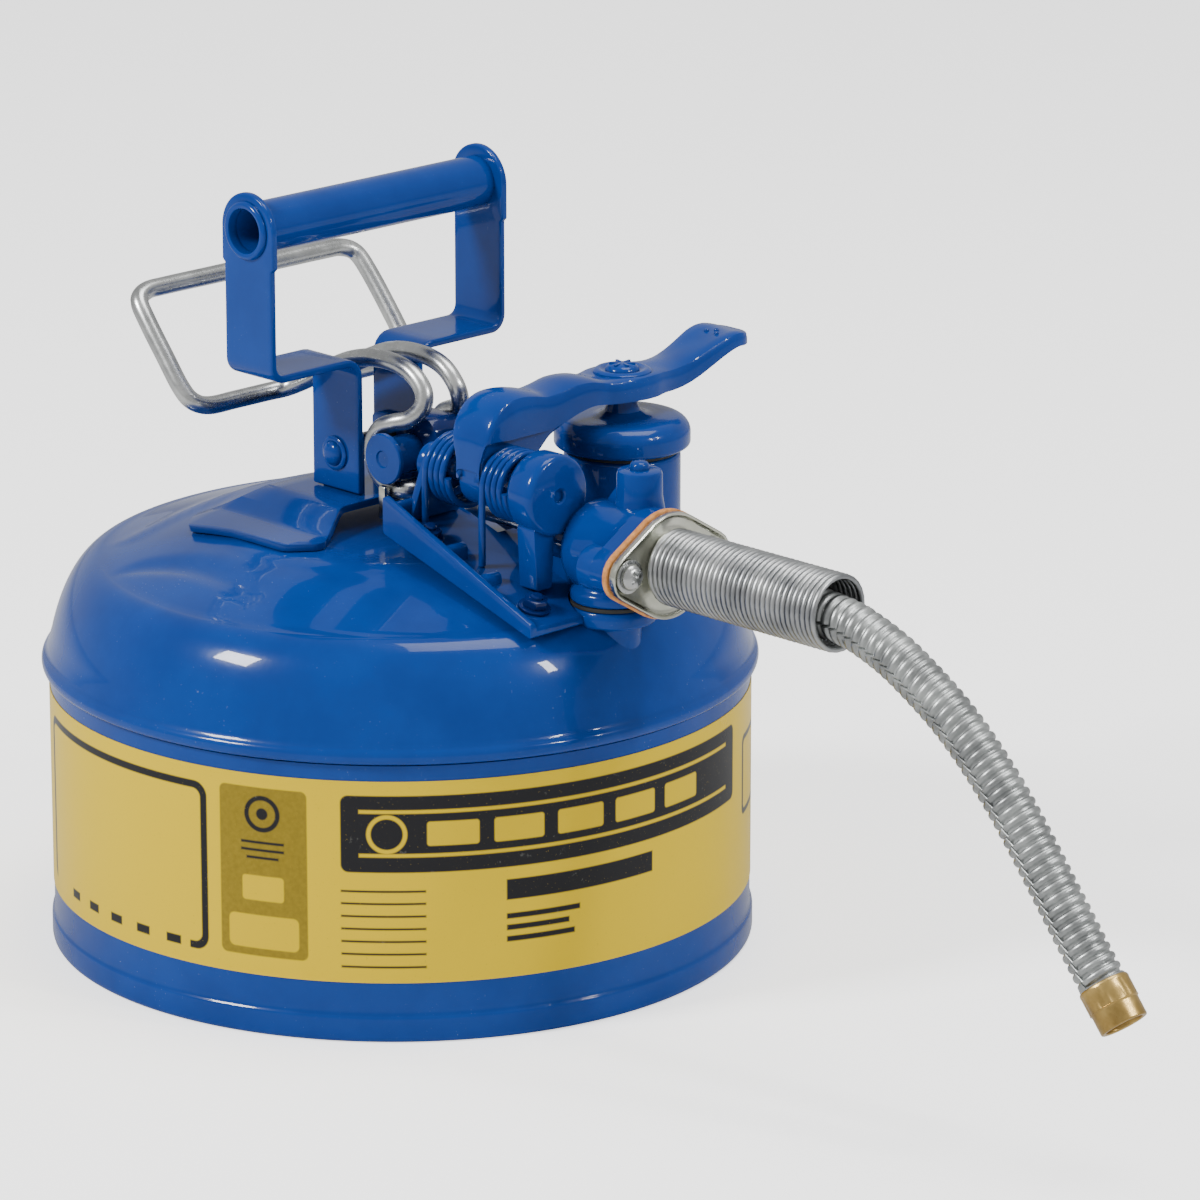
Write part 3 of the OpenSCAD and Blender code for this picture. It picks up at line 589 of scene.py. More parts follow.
def strap_side():
    """One strap, on the +Y side: the pierced round top first, then the bend, shelf and leg."""
    bm = bmesh.new()
    reach, hole, count = 12.5, 7.2, 64
    rings = []
    for grow in (hole, hole + 1.4, None):
        ring = []
        for k in range(count):
            a = math.tau * (k + 0.5) / count
            if grow:
                u, v = grow * math.cos(a), grow * math.sin(a)
            elif a < math.pi:
                u, v = reach * math.cos(a), reach * math.sin(a)
            else:
                far = reach / max(abs(math.cos(a)), abs(math.sin(a)))
                u, v = far * math.cos(a), far * math.sin(a)
            ring.append(bm.verts.new((grip_x + u, panel_y, grip_z + v)))
        rings.append([bm.edges.new((ring[k], ring[(k + 1) % count])) for k in range(count)])
    for inner, outer in zip(rings, rings[1:]):
        bmesh.ops.bridge_loops(bm, edges=inner + outer)
    low = [e for e in rings[2] if all(v.co.z < grip_z - reach + 0.9 for v in e.verts)]
    route = [(panel_y, z) for z in (230, 222, 214, 207, 204)] + \
        [(47 + 6 * math.cos(a), 204 + 6 * math.sin(a)) for a in (-math.radians(90 * i / 7) for i in range(1, 8))] + \
        [(y, 198) for y in (40, 32, 24, 19.5)] + \
        [(19.5 - 4.5 * math.sin(a), 193.5 + 4.5 * math.cos(a)) for a in (math.radians(90 * i / 5) for i in range(1, 6))] + \
        [(leg_y, z) for z in (186, 178, 170, 162, 153.6)]
    for y, z in route:
        grown = bmesh.ops.extrude_edge_only(bm, edges=low)["geom"]
        for vert in (g for g in grown if isinstance(g, bmesh.types.BMVert)):
            vert.co.y, vert.co.z = y, z
        low = [g for g in grown if isinstance(g, bmesh.types.BMEdge)]
    bmesh.ops.recalc_face_normals(bm, faces=bm.faces)
    outward = sum(f.normal.y for f in bm.faces if f.calc_center_median().z > 240)
    if outward < 0:
        bmesh.ops.reverse_faces(bm, faces=bm.faces)
    bmesh.ops.solidify(bm, geom=bm.faces, thickness=strap)
    return soften(bm, 0.7, 3, 60)


for side, name in ((1, "handle_strap_far"), (-1, "handle_strap_near")):
    strap_bm = strap_side()
    if side < 0:
        bmesh.ops.scale(strap_bm, vec=(1, -1, 1), verts=strap_bm.verts)
        bmesh.ops.reverse_faces(strap_bm, faces=strap_bm.faces)
    piece(name, strap_bm, blue, [name])
lip = arc((8.4, 53.2), (1.5, 1.5), 0, 90, 5)
tube_end = [(8.7, 50.3), (8.7, 52.0), (9.6, 52.6)] + lip + [(7.6, 54.3), (7.25, 53.4)]
tube_line = [(r, -h) for r, h in reversed(tube_end)] + [(8.7, -40), (8.7, 0), (8.7, 40)] + tube_end
grip_tube = piece("grip_tube", lathe(tube_line, "Y", (grip_x, 0, grip_z), 80), blue, ["grip_tube"])

# ---- handle rivet and spacer ----
# A through rivet holds both legs on the bracket's tabs, with a domed head and washer on each side
# and a black tube between the tabs.
rivet_end = [(5.8, 15.05), (5.8, 15.7), (5.3, 16.1), (4.4, 16.2)] + arc((0.6, 16.1), (3.6, 2.2), 0, 90, 6) + [(0, 18.3)]
rivet = [lathe([(0, 14.8), (5.8, 14.8)] + rivet_end, "Y", (grip_x, 0, 166), 48, closed=False),
         lathe([(0, 14.8), (5.8, 14.8)] + rivet_end, "Y", (0, 0, 0), 48, closed=False)]
bmesh.ops.scale(rivet[1], vec=(1, -1, 1), verts=rivet[1].verts)
bmesh.ops.reverse_faces(rivet[1], faces=rivet[1].faces)
bmesh.ops.translate(rivet[1], vec=(grip_x, 0, 166), verts=rivet[1].verts)
shank = lathe([(0, -15), (2.55, -15), (2.55, 15), (0, 15)], "Y", (grip_x, 0, 166), 32, closed=False)
handle_rivet = piece("handle_rivet", joined(*rivet, shank), blue, ["handle_rivet"])
black = paint("black_enamel", (0.012, 0.012, 0.013), (0.008, 0.008, 0.009))
leg_spacer = piece("leg_spacer", lathe([(2.7, -9.9), (4.5, -9.9), (4.5, 9.9), (2.7, 9.9)], "Y", (grip_x, 0, 166), 48),
                   black, ["leg_spacer"])

# ---- trigger ----
# One bail of 6 mm bright wire: a crossbar under the grip, two goosenecks side by side over the
# pivot block, and hooked ends round the pivot pin. The fronts of the goosenecks are crimped.
wire_half = [(18.6, -9.5, 159.3), (18.3, -12.6, 159.3), (16.4, -14, 159.3), (13, -14, 159.2), (8.3, -14, 160.4),
             (4.3, -14, 164), (2.5, -14, 169), (3.3, -14, 174.4), (6.8, -14, 178.8), (12, -13, 181.2),
             (17.5, -11, 183), (20.8, -8.5, 187.2), (20, -7.2, 192.4), (14.5, -7, 197.2), (6, -7, 199.4),
             (-5, -7, 199.2), (-16, -7, 196.4), (-28, -7, 190.8), (-38, -7.2, 185.4), (-45, -9.5, 181.9),
             (-48, -16, 180.9), (-48, -30, 180.9), (-47.6, -42, 181.2), (-48.8, -48.2, 183.5), (-52.5, -50.2, 188),
             (-60, -50.4, 197.2), (-69, -50.2, 207.8), (-74.2, -49, 213.6), (-76.2, -44, 215.9),
             (-76.4, -36, 216.2), (-76.4, -12, 216.2)]
bail = [Vector(p) for p in wire_half] + [Vector((x, -y, z)) for x, y, z in reversed(wire_half)]
bail_bm = wire(curve_through(bail, 5), 3.1, 5)
for vert in bail_bm.verts:
    for side in (-1, 1):
        away = vert.co - Vector((16.5, side * 11.4, 182.6))
        if away.length < 8:
            pinch = math.exp(-(away.length / 4.6) ** 2)
            vert.co.y -= (vert.co.y - side * 11.4) * 0.30 * pinch
trigger = piece("trigger_bail", bail_bm, bright, ["trigger_wire"], "trigger", crease=60)

# ---- pivot block and pin ----
# A painted block stands on the dome between the goosenecks; its pin carries the trigger on round
# bosses with end discs.
# this coat's creases get a deeper painted shade (0.4)
dark = paint("dark_blue_coat", (0.001, 0.018, 0.13), (0.001, 0.012, 0.09), 0.4)
block_line = [(17, 144.3), (26, 144.3), (26, 174.5), (24, 179.5), (21, 182.5), (8, 182.5), (5, 180), (5, 168),
              (8, 163.8), (17, 163.8)]
block_bm = slab(rounded(block_line, 1.2), -6, 6, "Y", 0.8)
block_foot = slab(rounded([(15, -10), (30, -10), (30, 10), (15, 10)], 2.0), 144.25, 146.65, "Z", 0.5)
pivot_block = piece("pivot_block", joined(block_bm, block_foot), dark, ["pivot_block"])
pin_half = [(6.5, 6.3), (6.6, 6.6), (6.6, 17.4), (8.2, 17.5), (8.6, 17.9), (8.6, 19.1), (8.2, 19.5), (3.0, 19.5), (2.6, 19.0), (0, 19.0)]
pin_bm = [lathe([(0, 0), (4, 0), (4, 6.3)] + pin_half, "Y", (13, 0, 170), 56, closed=False),
          lathe([(0, 0), (4, 0), (4, 6.3)] + pin_half, "Y", (0, 0, 0), 56, closed=False)]
bmesh.ops.scale(pin_bm[1], vec=(1, -1, 1), verts=pin_bm[1].verts)
bmesh.ops.reverse_faces(pin_bm[1], faces=pin_bm[1].faces)
bmesh.ops.translate(pin_bm[1], vec=(13, 0, 170), verts=pin_bm[1].verts)
pivot_pin = piece("pivot_pin", joined(*pin_bm), blue, ["pivot_pin"])

# ---- deck tray ----
# A cast tray under the valve gear, sloping down towards the hose, with a tapering wall along its
# near side and a low one on the far side.
top_z, cone_rise = 144.2, 12.2 / 39.6


def deck_z(x):
    """Height of the tray's floor."""
    return top_z + 0.05 + 3 / math.cos(math.atan(cone_rise)) - (x - 60) * cone_rise


def tray_block(y0, y1, left, right, bevel, x0=33.0, x1=103.0, below=3.2):
    line = [(x0, deck_z(x0) - below), (x1, deck_z(x1) - below), (x1, deck_z(x1) + right), (x0, deck_z(x0) + left)]
    return slab(rounded(line, 1.4), y0, y1, "Y", bevel)


ribs = [tray_block(-35.6, -26, 5.0 - 4.2 * (x - 58) / 40, 4.6 - 4.2 * (x - 58) / 40, 0.6, x, x + 3) for x in (58, 74)]
tray_bm = joined(tray_block(-38, 24, 0, 0, 0.8), tray_block(-38, -35.4, 9.5, 1.5, 0.8),
                 tray_block(21.5, 24, 3, 1.5, 0.8), tray_block(-38, -6, 7.0, 6.4, 0.7, 33, 35.4), *ribs)
deck_tray = piece("deck_tray", tray_bm, blue, ["deck_tray"])
for hole in (lathe([(0, 120), (14.7, 120), (14.7, 170), (0, 170)], at=(102, 0, 0), steps=48, closed=False),
             lathe([(0, 120), (20.1, 120), (20.1, 170), (0, 170)], at=(neck_x, neck_y, 0), steps=64, closed=False),
             slab([(30, -4), (52, -4), (52, 4), (30, 4)], 140, 170, "Z", 0)):
    cut(deck_tray, hole, shells=True)


# ---- deck screws ----
# Four plated and painted hex-head screws with washers hold the tray and the casting to the tank.


def hex_screw(x, y, z, turn, grow=1.0):
    head = bmesh.new()
    bmesh.ops.create_cone(head, cap_ends=True, segments=6, radius1=4.2 * grow, radius2=4.2 * grow, depth=2.8 * grow)
    bmesh.ops.translate(head, vec=(0, 0, 2.6 + 1.4 * (grow - 1)), verts=head.verts)
    soften(head, 0.35 * grow, 2)
    washer = lathe([(0, 0.1), (5.2 * grow, 0.1), (5.4 * grow, 0.4), (5.4 * grow, 0.9), (5.1 * grow, 1.25), (0, 1.25)],
                   steps=40, closed=False)
    nub = lathe([(0, 5.4), (1.6, 5.3), (2.1, 4.8), (2.1, 1.0), (0, 1.0)], steps=24, closed=False)
    bm = joined(head, washer, nub)
    lean = math.atan(cone_rise)
    place = Matrix.Translation((x, y, z)) @ Matrix.Rotation(lean, 4, "Y") @ Matrix.Rotation(turn, 4, "Z")
    bmesh.ops.transform(bm, matrix=place, verts=bm.verts)
    return bm


screws = [hex_screw(x, y, deck_z(x), turn) for x, y, turn in ((46, -30, 0.3), (93, -27, 0.8), (44, 13, 0.1), (84, 17, 0.5))]
deck_screws = piece("deck_screws", joined(*screws), dark, ["deck_screws"])

# ---- outlet casting and its gasket ----
# An iron casting bolted over the tank's outlet on a thin black gasket: a foot, a round valve body
# with a two-bolt flange for the hose, a guide for the valve stem and a boss with a screw on top.
rubber = Finish("black_rubber", Specular_IOR_Level=0.35)
rubber_finish = rubber.done(
    Base_Color=rubber.mix(rubber.grain(180.0, 4.0), (0.010, 0.010, 0.010), (0.032, 0.032, 0.031)),
    Roughness=rubber.grain(300.0, 3.0) * 0.2 + 0.55, Normal=rubber.bump(rubber.grain(1100.0, 2.0), 0.00008, 0.5))
inlet_gasket = piece("inlet_gasket", lathe([(7, 135.85), (14, 135.85), (14.1, 136.4), (14, 137), (7, 137)],
                                           at=(102, 0, 0), steps=64), rubber_finish, ["inlet_gasket"])
bolt_y = 18.5


def diamond(core, ear, count=72, y=0.0, z=0.0):
    """Two-bolt flange outline in Y and Z, one point for each equal turn round the middle."""
    out = []
    lean = math.acos((core - ear) / bolt_y)
    normal = Vector((math.cos(lean), math.sin(lean)))
    for k in range(count):
        a = math.tau * (k + 0.5) / count
        ray = Vector((math.cos(a), math.sin(a)))
        side = Vector((abs(ray.x), abs(ray.y)))
        reach = core / max(side.dot(normal), 1e-6)
        touch = side * reach
        along = touch.dot(Vector((math.sin(lean), -math.cos(lean))))
        if along < 0:
            reach = core
        elif along > bolt_y * math.sin(lean):
            reach = bolt_y * side.x + math.sqrt(max(0.0, ear ** 2 - (bolt_y * side.y) ** 2))
        out.append((y + ray.x * reach, z + ray.y * reach))
    return out


def rings_x(loops, thick=0.0):
    """Bridges closed loops of (y, z) points, each at its own x, into a skin along X."""
    bm = bmesh.new()
    edges = []
    for x, points in loops:
        verts = [bm.verts.new((x, u, v)) for u, v in points]
        edges.append([bm.edges.new((verts[i - 1], verts[i])) for i in range(len(verts))])
    for first, second in zip(edges, edges[1:]):
        bmesh.ops.bridge_loops(bm, edges=first + second)
    bmesh.ops.recalc_face_normals(bm, faces=bm.faces)
    return bm


def circle(radius, count=72, y=0.0, z=0.0):
    return [(y + radius * math.cos(math.tau * (k + 0.5) / count), z + radius * math.sin(math.tau * (k + 0.5) / count))
            for k in range(count)]


def between(first, second, share):
    return [tuple(Vector(a).lerp(Vector(b), share)) for a, b in zip(first, second)]


body = circle(15.5, z=outlet_z)
wide = diamond(16.9, 7.5, z=outlet_z)
casting = rings_x([
    (90.5, circle(0.05, z=outlet_z)), (90.5, circle(7.0, z=outlet_z)), (91.2, circle(12.2, z=outlet_z)),
    (92.4, circle(14.4, z=outlet_z)), (94.6, circle(15.5, z=outlet_z)), (99, circle(15.7, z=outlet_z)),
    (106, circle(15.5, z=outlet_z)), (112, between(body, wide, 0.10)), (114.6, between(body, wide, 0.3)),
    (116.2, between(body, wide, 0.72)), (116.9, diamond(16.5, 7.1, z=outlet_z)), (117.4, wide),
    (123.4, wide), (124, diamond(16.4, 7.0, z=outlet_z)), (124, circle(7.7, z=outlet_z)), (112, circle(7.7, z=outlet_z)),
    (110, circle(7.7, z=outlet_z)), (110, circle(10.5, z=outlet_z)), (95, circle(10.5, z=outlet_z)),
    (95, circle(0.05, z=outlet_z))])
guide = lathe(rounded([(2.5, 66), (6.9, 66), (7.5, 66.8), (7.5, 93), (2.5, 93)], 0.8), "X", (0, 0, outlet_z), 64)
foot = lathe(rounded([(7.2, 137), (13.4, 137), (14.1, 137.8), (14.1, 140.5), (12.4, 142.2), (11.6, 150), (8, 156), (7.2, 156)], 0.9),
             at=(102, 0, 0), steps=64)
boss = lathe([(0, 180.2), (3.3, 180.2), (3.3, 180.6), (6.1, 180.6), (7.1, 180.2), (7.5, 179.2), (7.6, 172), (8.4, 167), (10.2, 162), (12.4, 157)],
             at=(108, 6, 0), steps=56, closed=False)
boss_screw = lathe([(0, 183.4), (1.4, 183.3), (2.6, 182.9), (3.1, 182.2), (3.2, 181.2), (3.2, 179), (0, 179)], at=(108, 6, 0), steps=32,
                   closed=False)
web = slab(rounded([(68, 142.6), (90, 137.4), (94, 137.2), (94, 150), (68, 150)], 2.0), -4, 4, "Y", 1.2)
rib_top = slab(rounded([(88, 163), (104, 166), (112, 172), (104, 176.5), (97, 168)], 2.0), 1, 11, "Y", 1.6)
lug = joined(*[lathe(rounded([(0, 110), (6.4, 110), (7.4, 111), (7.4, 118), (0, 118)], 0.8), "X", (0, s * bolt_y, outlet_z), 40, closed=False)
               for s in (-1, 1)])
outlet_casting = piece("outlet_casting", joined(casting, guide, foot, boss, boss_screw, web, rib_top, lug), blue,
                       ["outlet_casting"])

# ---- fill neck and its flame arrester ----
# A short spun tube with a rolled rim, welded in the dome, and a basket of brass mesh inside it.
neck_line = [(16.5, 128)] + [(16.5, 168.6)] + arc((18.0, 168.5), (1.5, 1.5), 180, 0, 8) + \
    [(19.5, 150), (19.6, 145.6), (20.4, 143.6), (22.0, 142.2), (20.0, 138), (19.5, 128)]
fill_neck = piece("fill_neck", lathe(neck_line, at=(neck_x, neck_y, 0), steps=96), blue, ["fill_neck"])
mesh_bm = lathe([(14.8, 162)] + [(14.8, 162 - i * 2.4) for i in range(1, 25)] + [(10, 104.4), (5, 104.4), (0.4, 104.4)],
                at=(neck_x, neck_y, 0), steps=44, closed=False)
bmesh.ops.wireframe(mesh_bm, faces=mesh_bm.faces[:], thickness=0.55, use_replace=True, use_even_offset=True)
mesh_ring = lathe(rounded([(14.2, 161), (15.4, 161), (16.4, 161.8), (16.4, 163), (14.2, 163)], 0.4), at=(neck_x, neck_y, 0), steps=72)
fill_arrester = piece("fill_arrester", joined(mesh_bm, mesh_ring), brass, ["fill_arrester"])

# ---- hinge shaft, bracket and drum ----
# The fill lever turns on a plain shaft between a triangular bracket and a round drum on a leg.
hinge_y, hinge_z = -14.0, 172.0
bracket_line = [(hinge_y - 15, deck_z(34)), (hinge_y + 8, deck_z(34)), (hinge_y + 6, hinge_z + 5), (hinge_y + 3, hinge_z + 7.4),
                (hinge_y - 3, hinge_z + 7.4), (hinge_y - 6, hinge_z + 5)]
hinge_bracket = piece("hinge_bracket", slab(rounded(bracket_line, 2.4), 34, 37, "X", 0.5), blue, ["hinge_bracket"])
at_hinge = (0, hinge_y, hinge_z)
shaft_line = [(0, 30), (5.6, 30), (6.5, 30.8), (6.5, 33.2), (6.0, 33.9), (4, 33.9), (4, 90), (0, 90)]
collar_line = [(4.05, 39), (7.0, 39), (7.6, 39.6), (7.6, 41), (7.0, 41.6), (4.05, 41.6)]
hinge_shaft = piece("hinge_shaft", joined(lathe(shaft_line, "X", at_hinge, 48, closed=False), lathe(collar_line, "X", at_hinge, 48)),
                    blue, ["hinge_shaft"])
drum = [(4.05, 79), (11.4, 79), (12.2, 79.6), (12.6, 80.4), (13.1, 80.8), (13.5, 81.8), (13.5, 88.9), (13.3, 90.0), (12.7, 90.9),
        (11.8, 91.4), (2.8, 91.8), (2.2, 91.2), (2.2, 88.5), (0, 88.5)]
leg = slab(rounded([(hinge_y - 8, deck_z(81) + 0.05), (hinge_y - 1, deck_z(81) + 0.05), (hinge_y, 162), (hinge_y - 9, 162)], 1.0), 81, 89, "X", 0.8)
shaft_head = piece("shaft_head", joined(lathe(drum, "X", at_hinge, 72, closed=False), leg), blue, ["shaft_head"])

# ---- lever springs ----
# Two painted torsion springs on the shaft, one on each side of the lever, with their ends down on
# the tray. They shut the cap.


def lever_spring(x0, x1, leg_z):
    turns = coil(x0, x1, 11, 4, 40, hinge_y, hinge_z, math.pi)
    turns = [Vector((p.x, p.y, 2 * hinge_z - p.z)) for p in turns]
    leg = [Vector((x0 - 0.4, hinge_y - 11, hinge_z + leg_z + i * (0 - leg_z) / 6)) for i in range(6)]
    return wire(leg + turns, 1.2, 4)


for name, x0, x1, leg_z in (("lever_spring_near", 67, 77.5, -26.3), ("lever_spring_far", 40, 50.5, -18)):
    piece(name, lever_spring(x0, x1, leg_z), blue, [name], crease=60)

# ---- fill lever ----
# A deep pressed-steel lever: two humps over the hinge, a round seat for the cap screw, a narrow
# neck and a thumb spoon that turns up, with its edges folded down all the way along.
lever_mid = 59.0
stations = [  # y, top, half width, depth of the folded side, crown
    (-24.2, 176.0, 5.4, 3.0, 0.3), (-24.0, 183.0, 5.6, 4.0, 0.4), (-23.4, 187.4, 7.6, 2.0, 0.5), (-21.6, 192.0, 8.8, 5.6, 0.8),
    (-18, 196.4, 9.0, 10.0, 1.0), (-13, 199.0, 9.0, 13.0, 1.1), (-7, 199.6, 8.8, 13.6, 1.1), (0, 198.5, 8.4, 12.6, 0.8),
    (5, 197.4, 8.2, 11.6, 0.6), (11, 197.9, 8.4, 11.0, 0.8), (18, 199.0, 8.8, 9.8, 1.0), (25, 198.7, 8.8, 8.4, 0.8),
    (31, 197.3, 8.8, 7.6, 0.4), (35, 196.8, 9.8, 7.4, 0.0), (40, 197.0, 11.2, 7.6, -0.3), (46, 197.0, 11.8, 7.8, -0.4),
    (52, 196.9, 11.2, 7.8, -0.3), (57, 196.6, 9.8, 7.4, 0.2), (62, 196.2, 8.8, 7.2, 0.9), (68, 196.6, 8.4, 7.0, 0.9),
    (74, 198.2, 8.6, 6.8, 0.4), (80, 200.4, 9.2, 6.2, -0.3), (86, 202.6, 10.0, 5.4, -0.8), (91, 203.6, 10.2, 4.8, -0.8),
    (94.5, 203.3, 9.7, 4.6, -0.4), (97.2, 202.6, 8.3, 4.0, -0.1)]
lever_bm = bmesh.new()
rows = []
for y, top, half, deep, crown in curve_through([Vector(row) for row in stations], 3):
    fold = min(1.0, half / 7)
    section = [(-half, -deep), (-half, -deep * 0.5), (-half + 0.15 * fold, -min(1.5, deep * 0.4)),
               (-half + 0.7 * fold, -0.45), (-half + 1.8 * fold, -0.05), (-half * 0.5, 0.6 * crown), (0, crown)]
    section += [(-u, v) for u, v in reversed(section[:-1])]
    rows.append([lever_bm.verts.new((lever_mid + u, y, top + v)) for u, v in section])
    for i in range(len(section) - 1):
        lever_bm.edges.new((rows[-1][i], rows[-1][i + 1]))
for first, second in zip(rows, rows[1:]):
    bmesh.ops.bridge_loops(lever_bm, edges=[lever_bm.edges.get((r[i], r[i + 1])) for r in (first, second)
                                            for i in range(len(r) - 1)])
bmesh.ops.recalc_face_normals(lever_bm, faces=lever_bm.faces)
if sum(f.normal.z for f in lever_bm.faces) < 0:
    bmesh.ops.reverse_faces(lever_bm, faces=lever_bm.faces)
bmesh.ops.solidify(lever_bm, geom=lever_bm.faces, thickness=1.8)
tip_line = [(-9.2, 89), (9.2, 89), (9.4, 94.0), (8.2, 97.4), (4.6, 99.5), (-4.6, 99.5), (-8.2, 97.4), (-9.4, 94.0)]
tip = slab(rounded([(lever_mid + u, y) for u, y in tip_line], 2.4), 198.7, 202.3, "Z", 1.2)
cheek_line = [(-23.5, 172), (-23.0, 184), (-20.5, 191), (-14, 194.6), (14, 194.6), (19.4, 192), (19.4, 187.5), (8, 183), (1.5, 177), (-4.5, 168),
              (-9, 163.6), (-14, 162.6), (-19, 163.6), (-22.6, 167.4)]
web = slab(rounded(cheek_line, 2.0), 53.5, 64.8, "X", 1.3, 3)
barrel = lathe(rounded([(4.05, 53.6), (8.8, 53.6), (9.5, 54.4), (9.5, 63.8), (8.8, 64.6), (4.05, 64.6)], 0.5), "X", at_hinge, 56)
ring_seat = lathe([(2.6, 196.4), (2.6, 197.3), (6.6, 197.4), (7.6, 197.9), (8.8, 197.9), (9.8, 197.2), (9.9, 196.2)], at=(neck_x, neck_y, 0), steps=48)
dots = [lathe([(0, 0.7), (0.5, 0.6), (0.9, 0), (0.9, -0.8), (0, -0.8)], at=(x, y, z), steps=16, closed=False)
        for x, y, z in ((56.6, 88.5, 202.7), (59.4, 90.5, 202.95), (61.8, 88.0, 202.6))]
fill_lever = piece("fill_lever", joined(lever_bm, web, tip, barrel, ring_seat, *dots), blue, ["fill_lever"], "fill_lever")
star = [lathe([(0, 199.6), (2.4, 199.5), (4.6, 199.0), (5.5, 198.2), (5.7, 197.5), (2.4, 197.5), (2.4, 190), (0, 190)],
              at=(neck_x, neck_y, 0), steps=48, closed=False)]
for k in range(6):
    spike = slab(rounded([(-0.45, 1.4), (0.45, 1.4), (0.45, 4.4), (-0.45, 4.4)], 0.2), 199.0, 199.75, "Z", 0.15)
    bmesh.ops.transform(spike, matrix=Matrix.Translation((neck_x, neck_y, 0)) @ Matrix.Rotation(k * math.tau / 6 + 0.2, 4, "Z"), verts=spike.verts)
    star.append(spike)
lever_screw = piece("lever_screw", joined(*star), blue, ["lever_screw"], "fill_lever")

# ---- cap and its gasket ----
# A pressed steel cap with a rounded edge, on a swivel post under the lever, and a black ring that
# seals on the neck's rim.
cap_line = [(0, 172.6), (20.6, 172.6), (21.0, 171.7)] + arc((21.2, 173.3), (1.6, 1.6), -90, 0, 5) + [(22.8, 176.4)] + \
    arc((17.2, 176.4), (5.6, 5.4), 6, 90, 10) + [(14, 182.0), (11.0, 181.9), (8.0, 182.3), (6.0, 183.6), (5.2, 186), (5.0, 190),
    (5.0, 193.8), (2.45, 193.8), (2.45, 189), (0, 189)]
fill_cap = piece("fill_cap", lathe(cap_line, at=(neck_x, neck_y, 0), steps=112, closed=False), blue, ["fill_cap"], "fill_lever")
cap_gasket = piece("cap_gasket", lathe([(0, 170.1), (19.2, 170.1), (19.5, 170.5), (19.5, 171.3), (19.2, 171.65), (0, 171.65)], at=(neck_x, neck_y, 0),
                                       steps=80, closed=False), rubber_finish, ["cap_gasket"], "fill_lever")

# ---- valve yoke ----
# A zinc-plated plate across the stem, with two open slots for the trigger's hooked ends.
zinc = metal("zinc_plate", (0.80, 0.80, 0.71), (0.50, 0.51, 0.42), 0.24, 200.0)
yoke_line = [(-20, 149.4), (20, 149.4), (20, 160.9), (17.7, 160.9), (17.7, 154.6), (10.3, 154.6), (10.3, 160.9), (-10.3, 160.9),
             (-10.3, 154.6), (-17.7, 154.6), (-17.7, 160.9), (-20, 160.9)]
valve_yoke = piece("valve_yoke", slab(rounded(yoke_line, 0.8, 2), 11.5, 14.5, "X", 0.3), zinc, ["valve_yoke"], "pour_valve")

# ---- hose gasket and flange ----
# A pressed fibre gasket and a dished zinc-plated flange of the same diamond outline, with a
# turned-over rim and a collar that grips the hose.
fibre = Finish("fibre_gasket", Specular_IOR_Level=0.3)
strands = fibre.grain(420.0, 5.0, 0.75)
fibre_finish = fibre.done(Base_Color=fibre.mix(strands.step(0.3, 0.7), (0.42, 0.16, 0.045), (0.66, 0.30, 0.10)),
                          Roughness=strands * 0.2 + 0.62, Normal=fibre.bump(strands, 0.0002, 0.7))
hose_gasket = piece("hose_gasket", rings_x([(124.02, circle(7.7, z=outlet_z)), (124.02, diamond(17.8, 8.3, z=outlet_z)),
                                            (124.4, diamond(18.1, 8.6, z=outlet_z)), (125.7, diamond(18.1, 8.6, z=outlet_z)),
                                            (125.98, diamond(17.8, 8.3, z=outlet_z)), (125.98, circle(7.7, z=outlet_z)),
                                            (124.02, circle(7.7, z=outlet_z))]), fibre_finish, ["hose_gasket"])
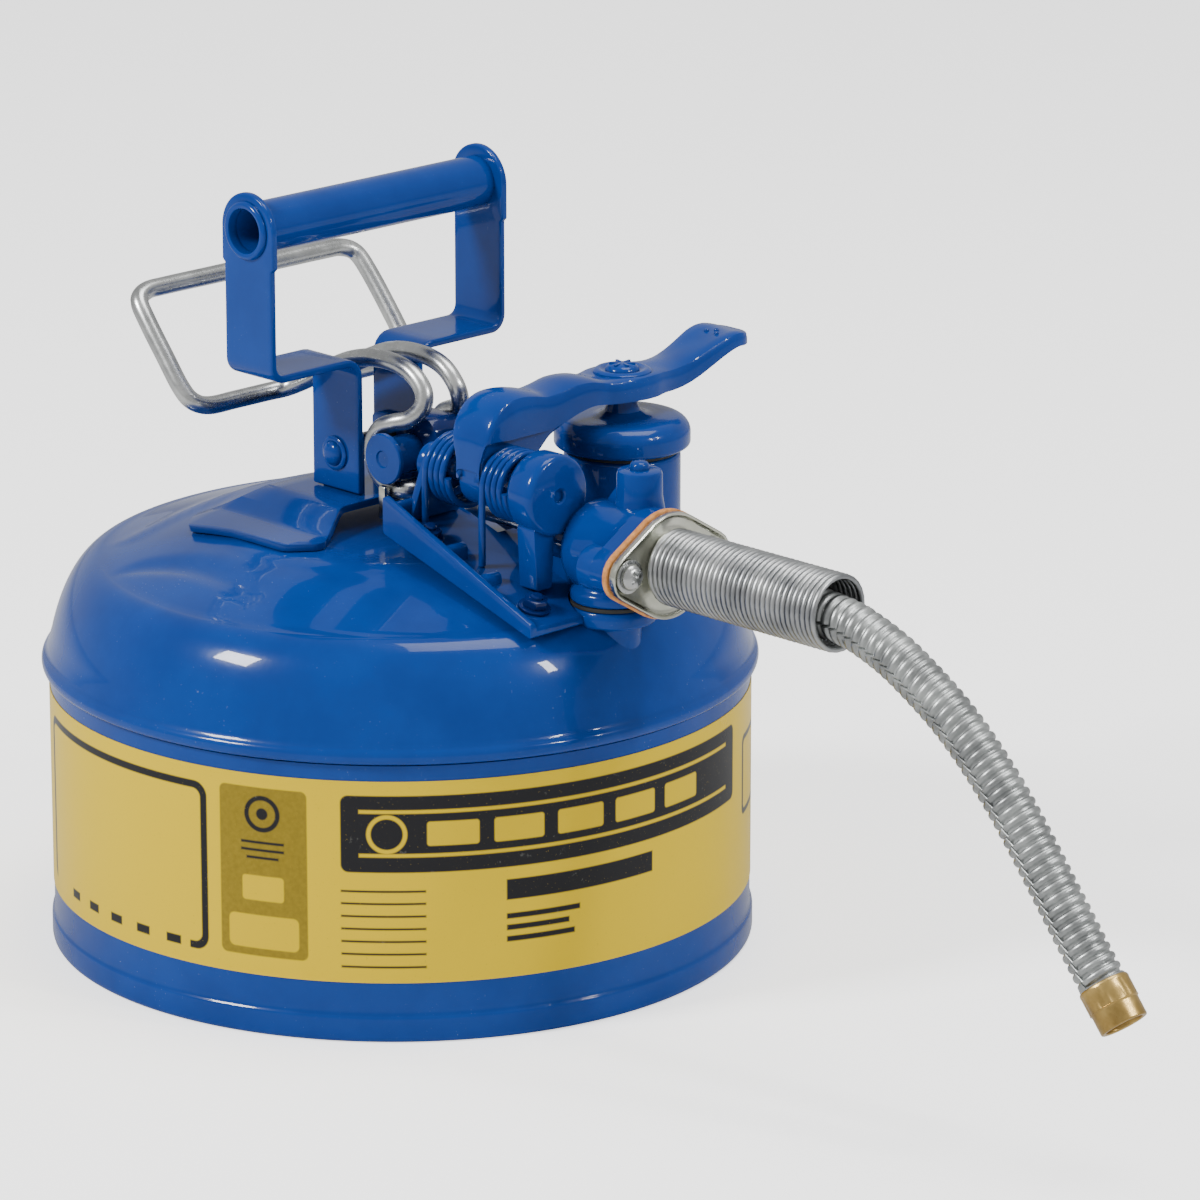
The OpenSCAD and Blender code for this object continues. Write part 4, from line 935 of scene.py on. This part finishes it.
flange = rings_x([
    (126.02, circle(7.9, z=outlet_z)), (126.02, diamond(15.6, 6.2, z=outlet_z)), (126.2, diamond(17.2, 7.6, z=outlet_z)),
    (127.0, diamond(17.7, 8.1, z=outlet_z)), (129.0, diamond(17.6, 8.0, z=outlet_z)), (129.3, diamond(17.2, 7.6, z=outlet_z)),
    (129.1, diamond(16.7, 7.1, z=outlet_z)), (128.0, diamond(16.2, 6.6, z=outlet_z)), (127.6, diamond(15.5, 6.0, z=outlet_z)),
    (127.7, circle(13.0, z=outlet_z)), (128.4, circle(10.6, z=outlet_z)), (129.4, circle(9.6, z=outlet_z)),
    (132.6, circle(9.3, z=outlet_z)), (133, circle(8.9, z=outlet_z)), (133, circle(7.9, z=outlet_z)), (126.02, circle(7.9, z=outlet_z))])
hose_flange = piece("hose_flange", flange, zinc, ["hose_flange"])

# ---- flange screws and washers ----
# Two bright cross-head pan screws, each on a washer, one near and one far.
screw_line = [(0, 131.9), (1.6, 131.8), (3.0, 131.3), (4.0, 130.4), (4.45, 129.3), (4.4, 128.7), (2.5, 128.6), (2.5, 116), (0, 116)]
screw_bm = joined(*[lathe(screw_line, "X", (0, s * bolt_y, outlet_z), 40, closed=False) for s in (-1, 1)])
flange_screws = piece("flange_screws", screw_bm, bright, ["flange_screws"])
for side, turn in ((-1, 0.5), (1, 1.1)):
    for quarter in (0, 1):
        arm = slab([(-0.55, -2.6), (0.55, -2.6), (0.55, 2.6), (-0.55, 2.6)], 130.3, 134, "X", 0)
        place = Matrix.Translation((0, side * bolt_y, outlet_z)) @ Matrix.Rotation(turn + quarter * math.pi / 2, 4, "X")
        bmesh.ops.transform(arm, matrix=place, verts=arm.verts)
        cut(flange_screws, arm)
washer_line = rounded([(2.6, 127.75), (5.5, 127.75), (5.6, 128.0), (5.6, 128.5), (2.6, 128.6)], 0.15)
flange_washers = piece("flange_washers", joined(*[lathe(washer_line, "X", (0, s * bolt_y, outlet_z), 40) for s in (-1, 1)]), bright,
                       ["flange_washers"])

# ---- inner parts ----
# The valve stem, disc seal and spring, the pouring arrester and the vent tube sit inside the
# casting and the tank; they keep their plain shapes and take the finish of the real part.
for node, finish in (("valve_stem", bright), ("valve_spring", spring_steel), ("valve_seal", rubber_finish),
                     ("pour_arrester", brass), ("vent_tube", zinc)):
    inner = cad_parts[node]
    for spot in inner.material_slots:
        spot.material = finish
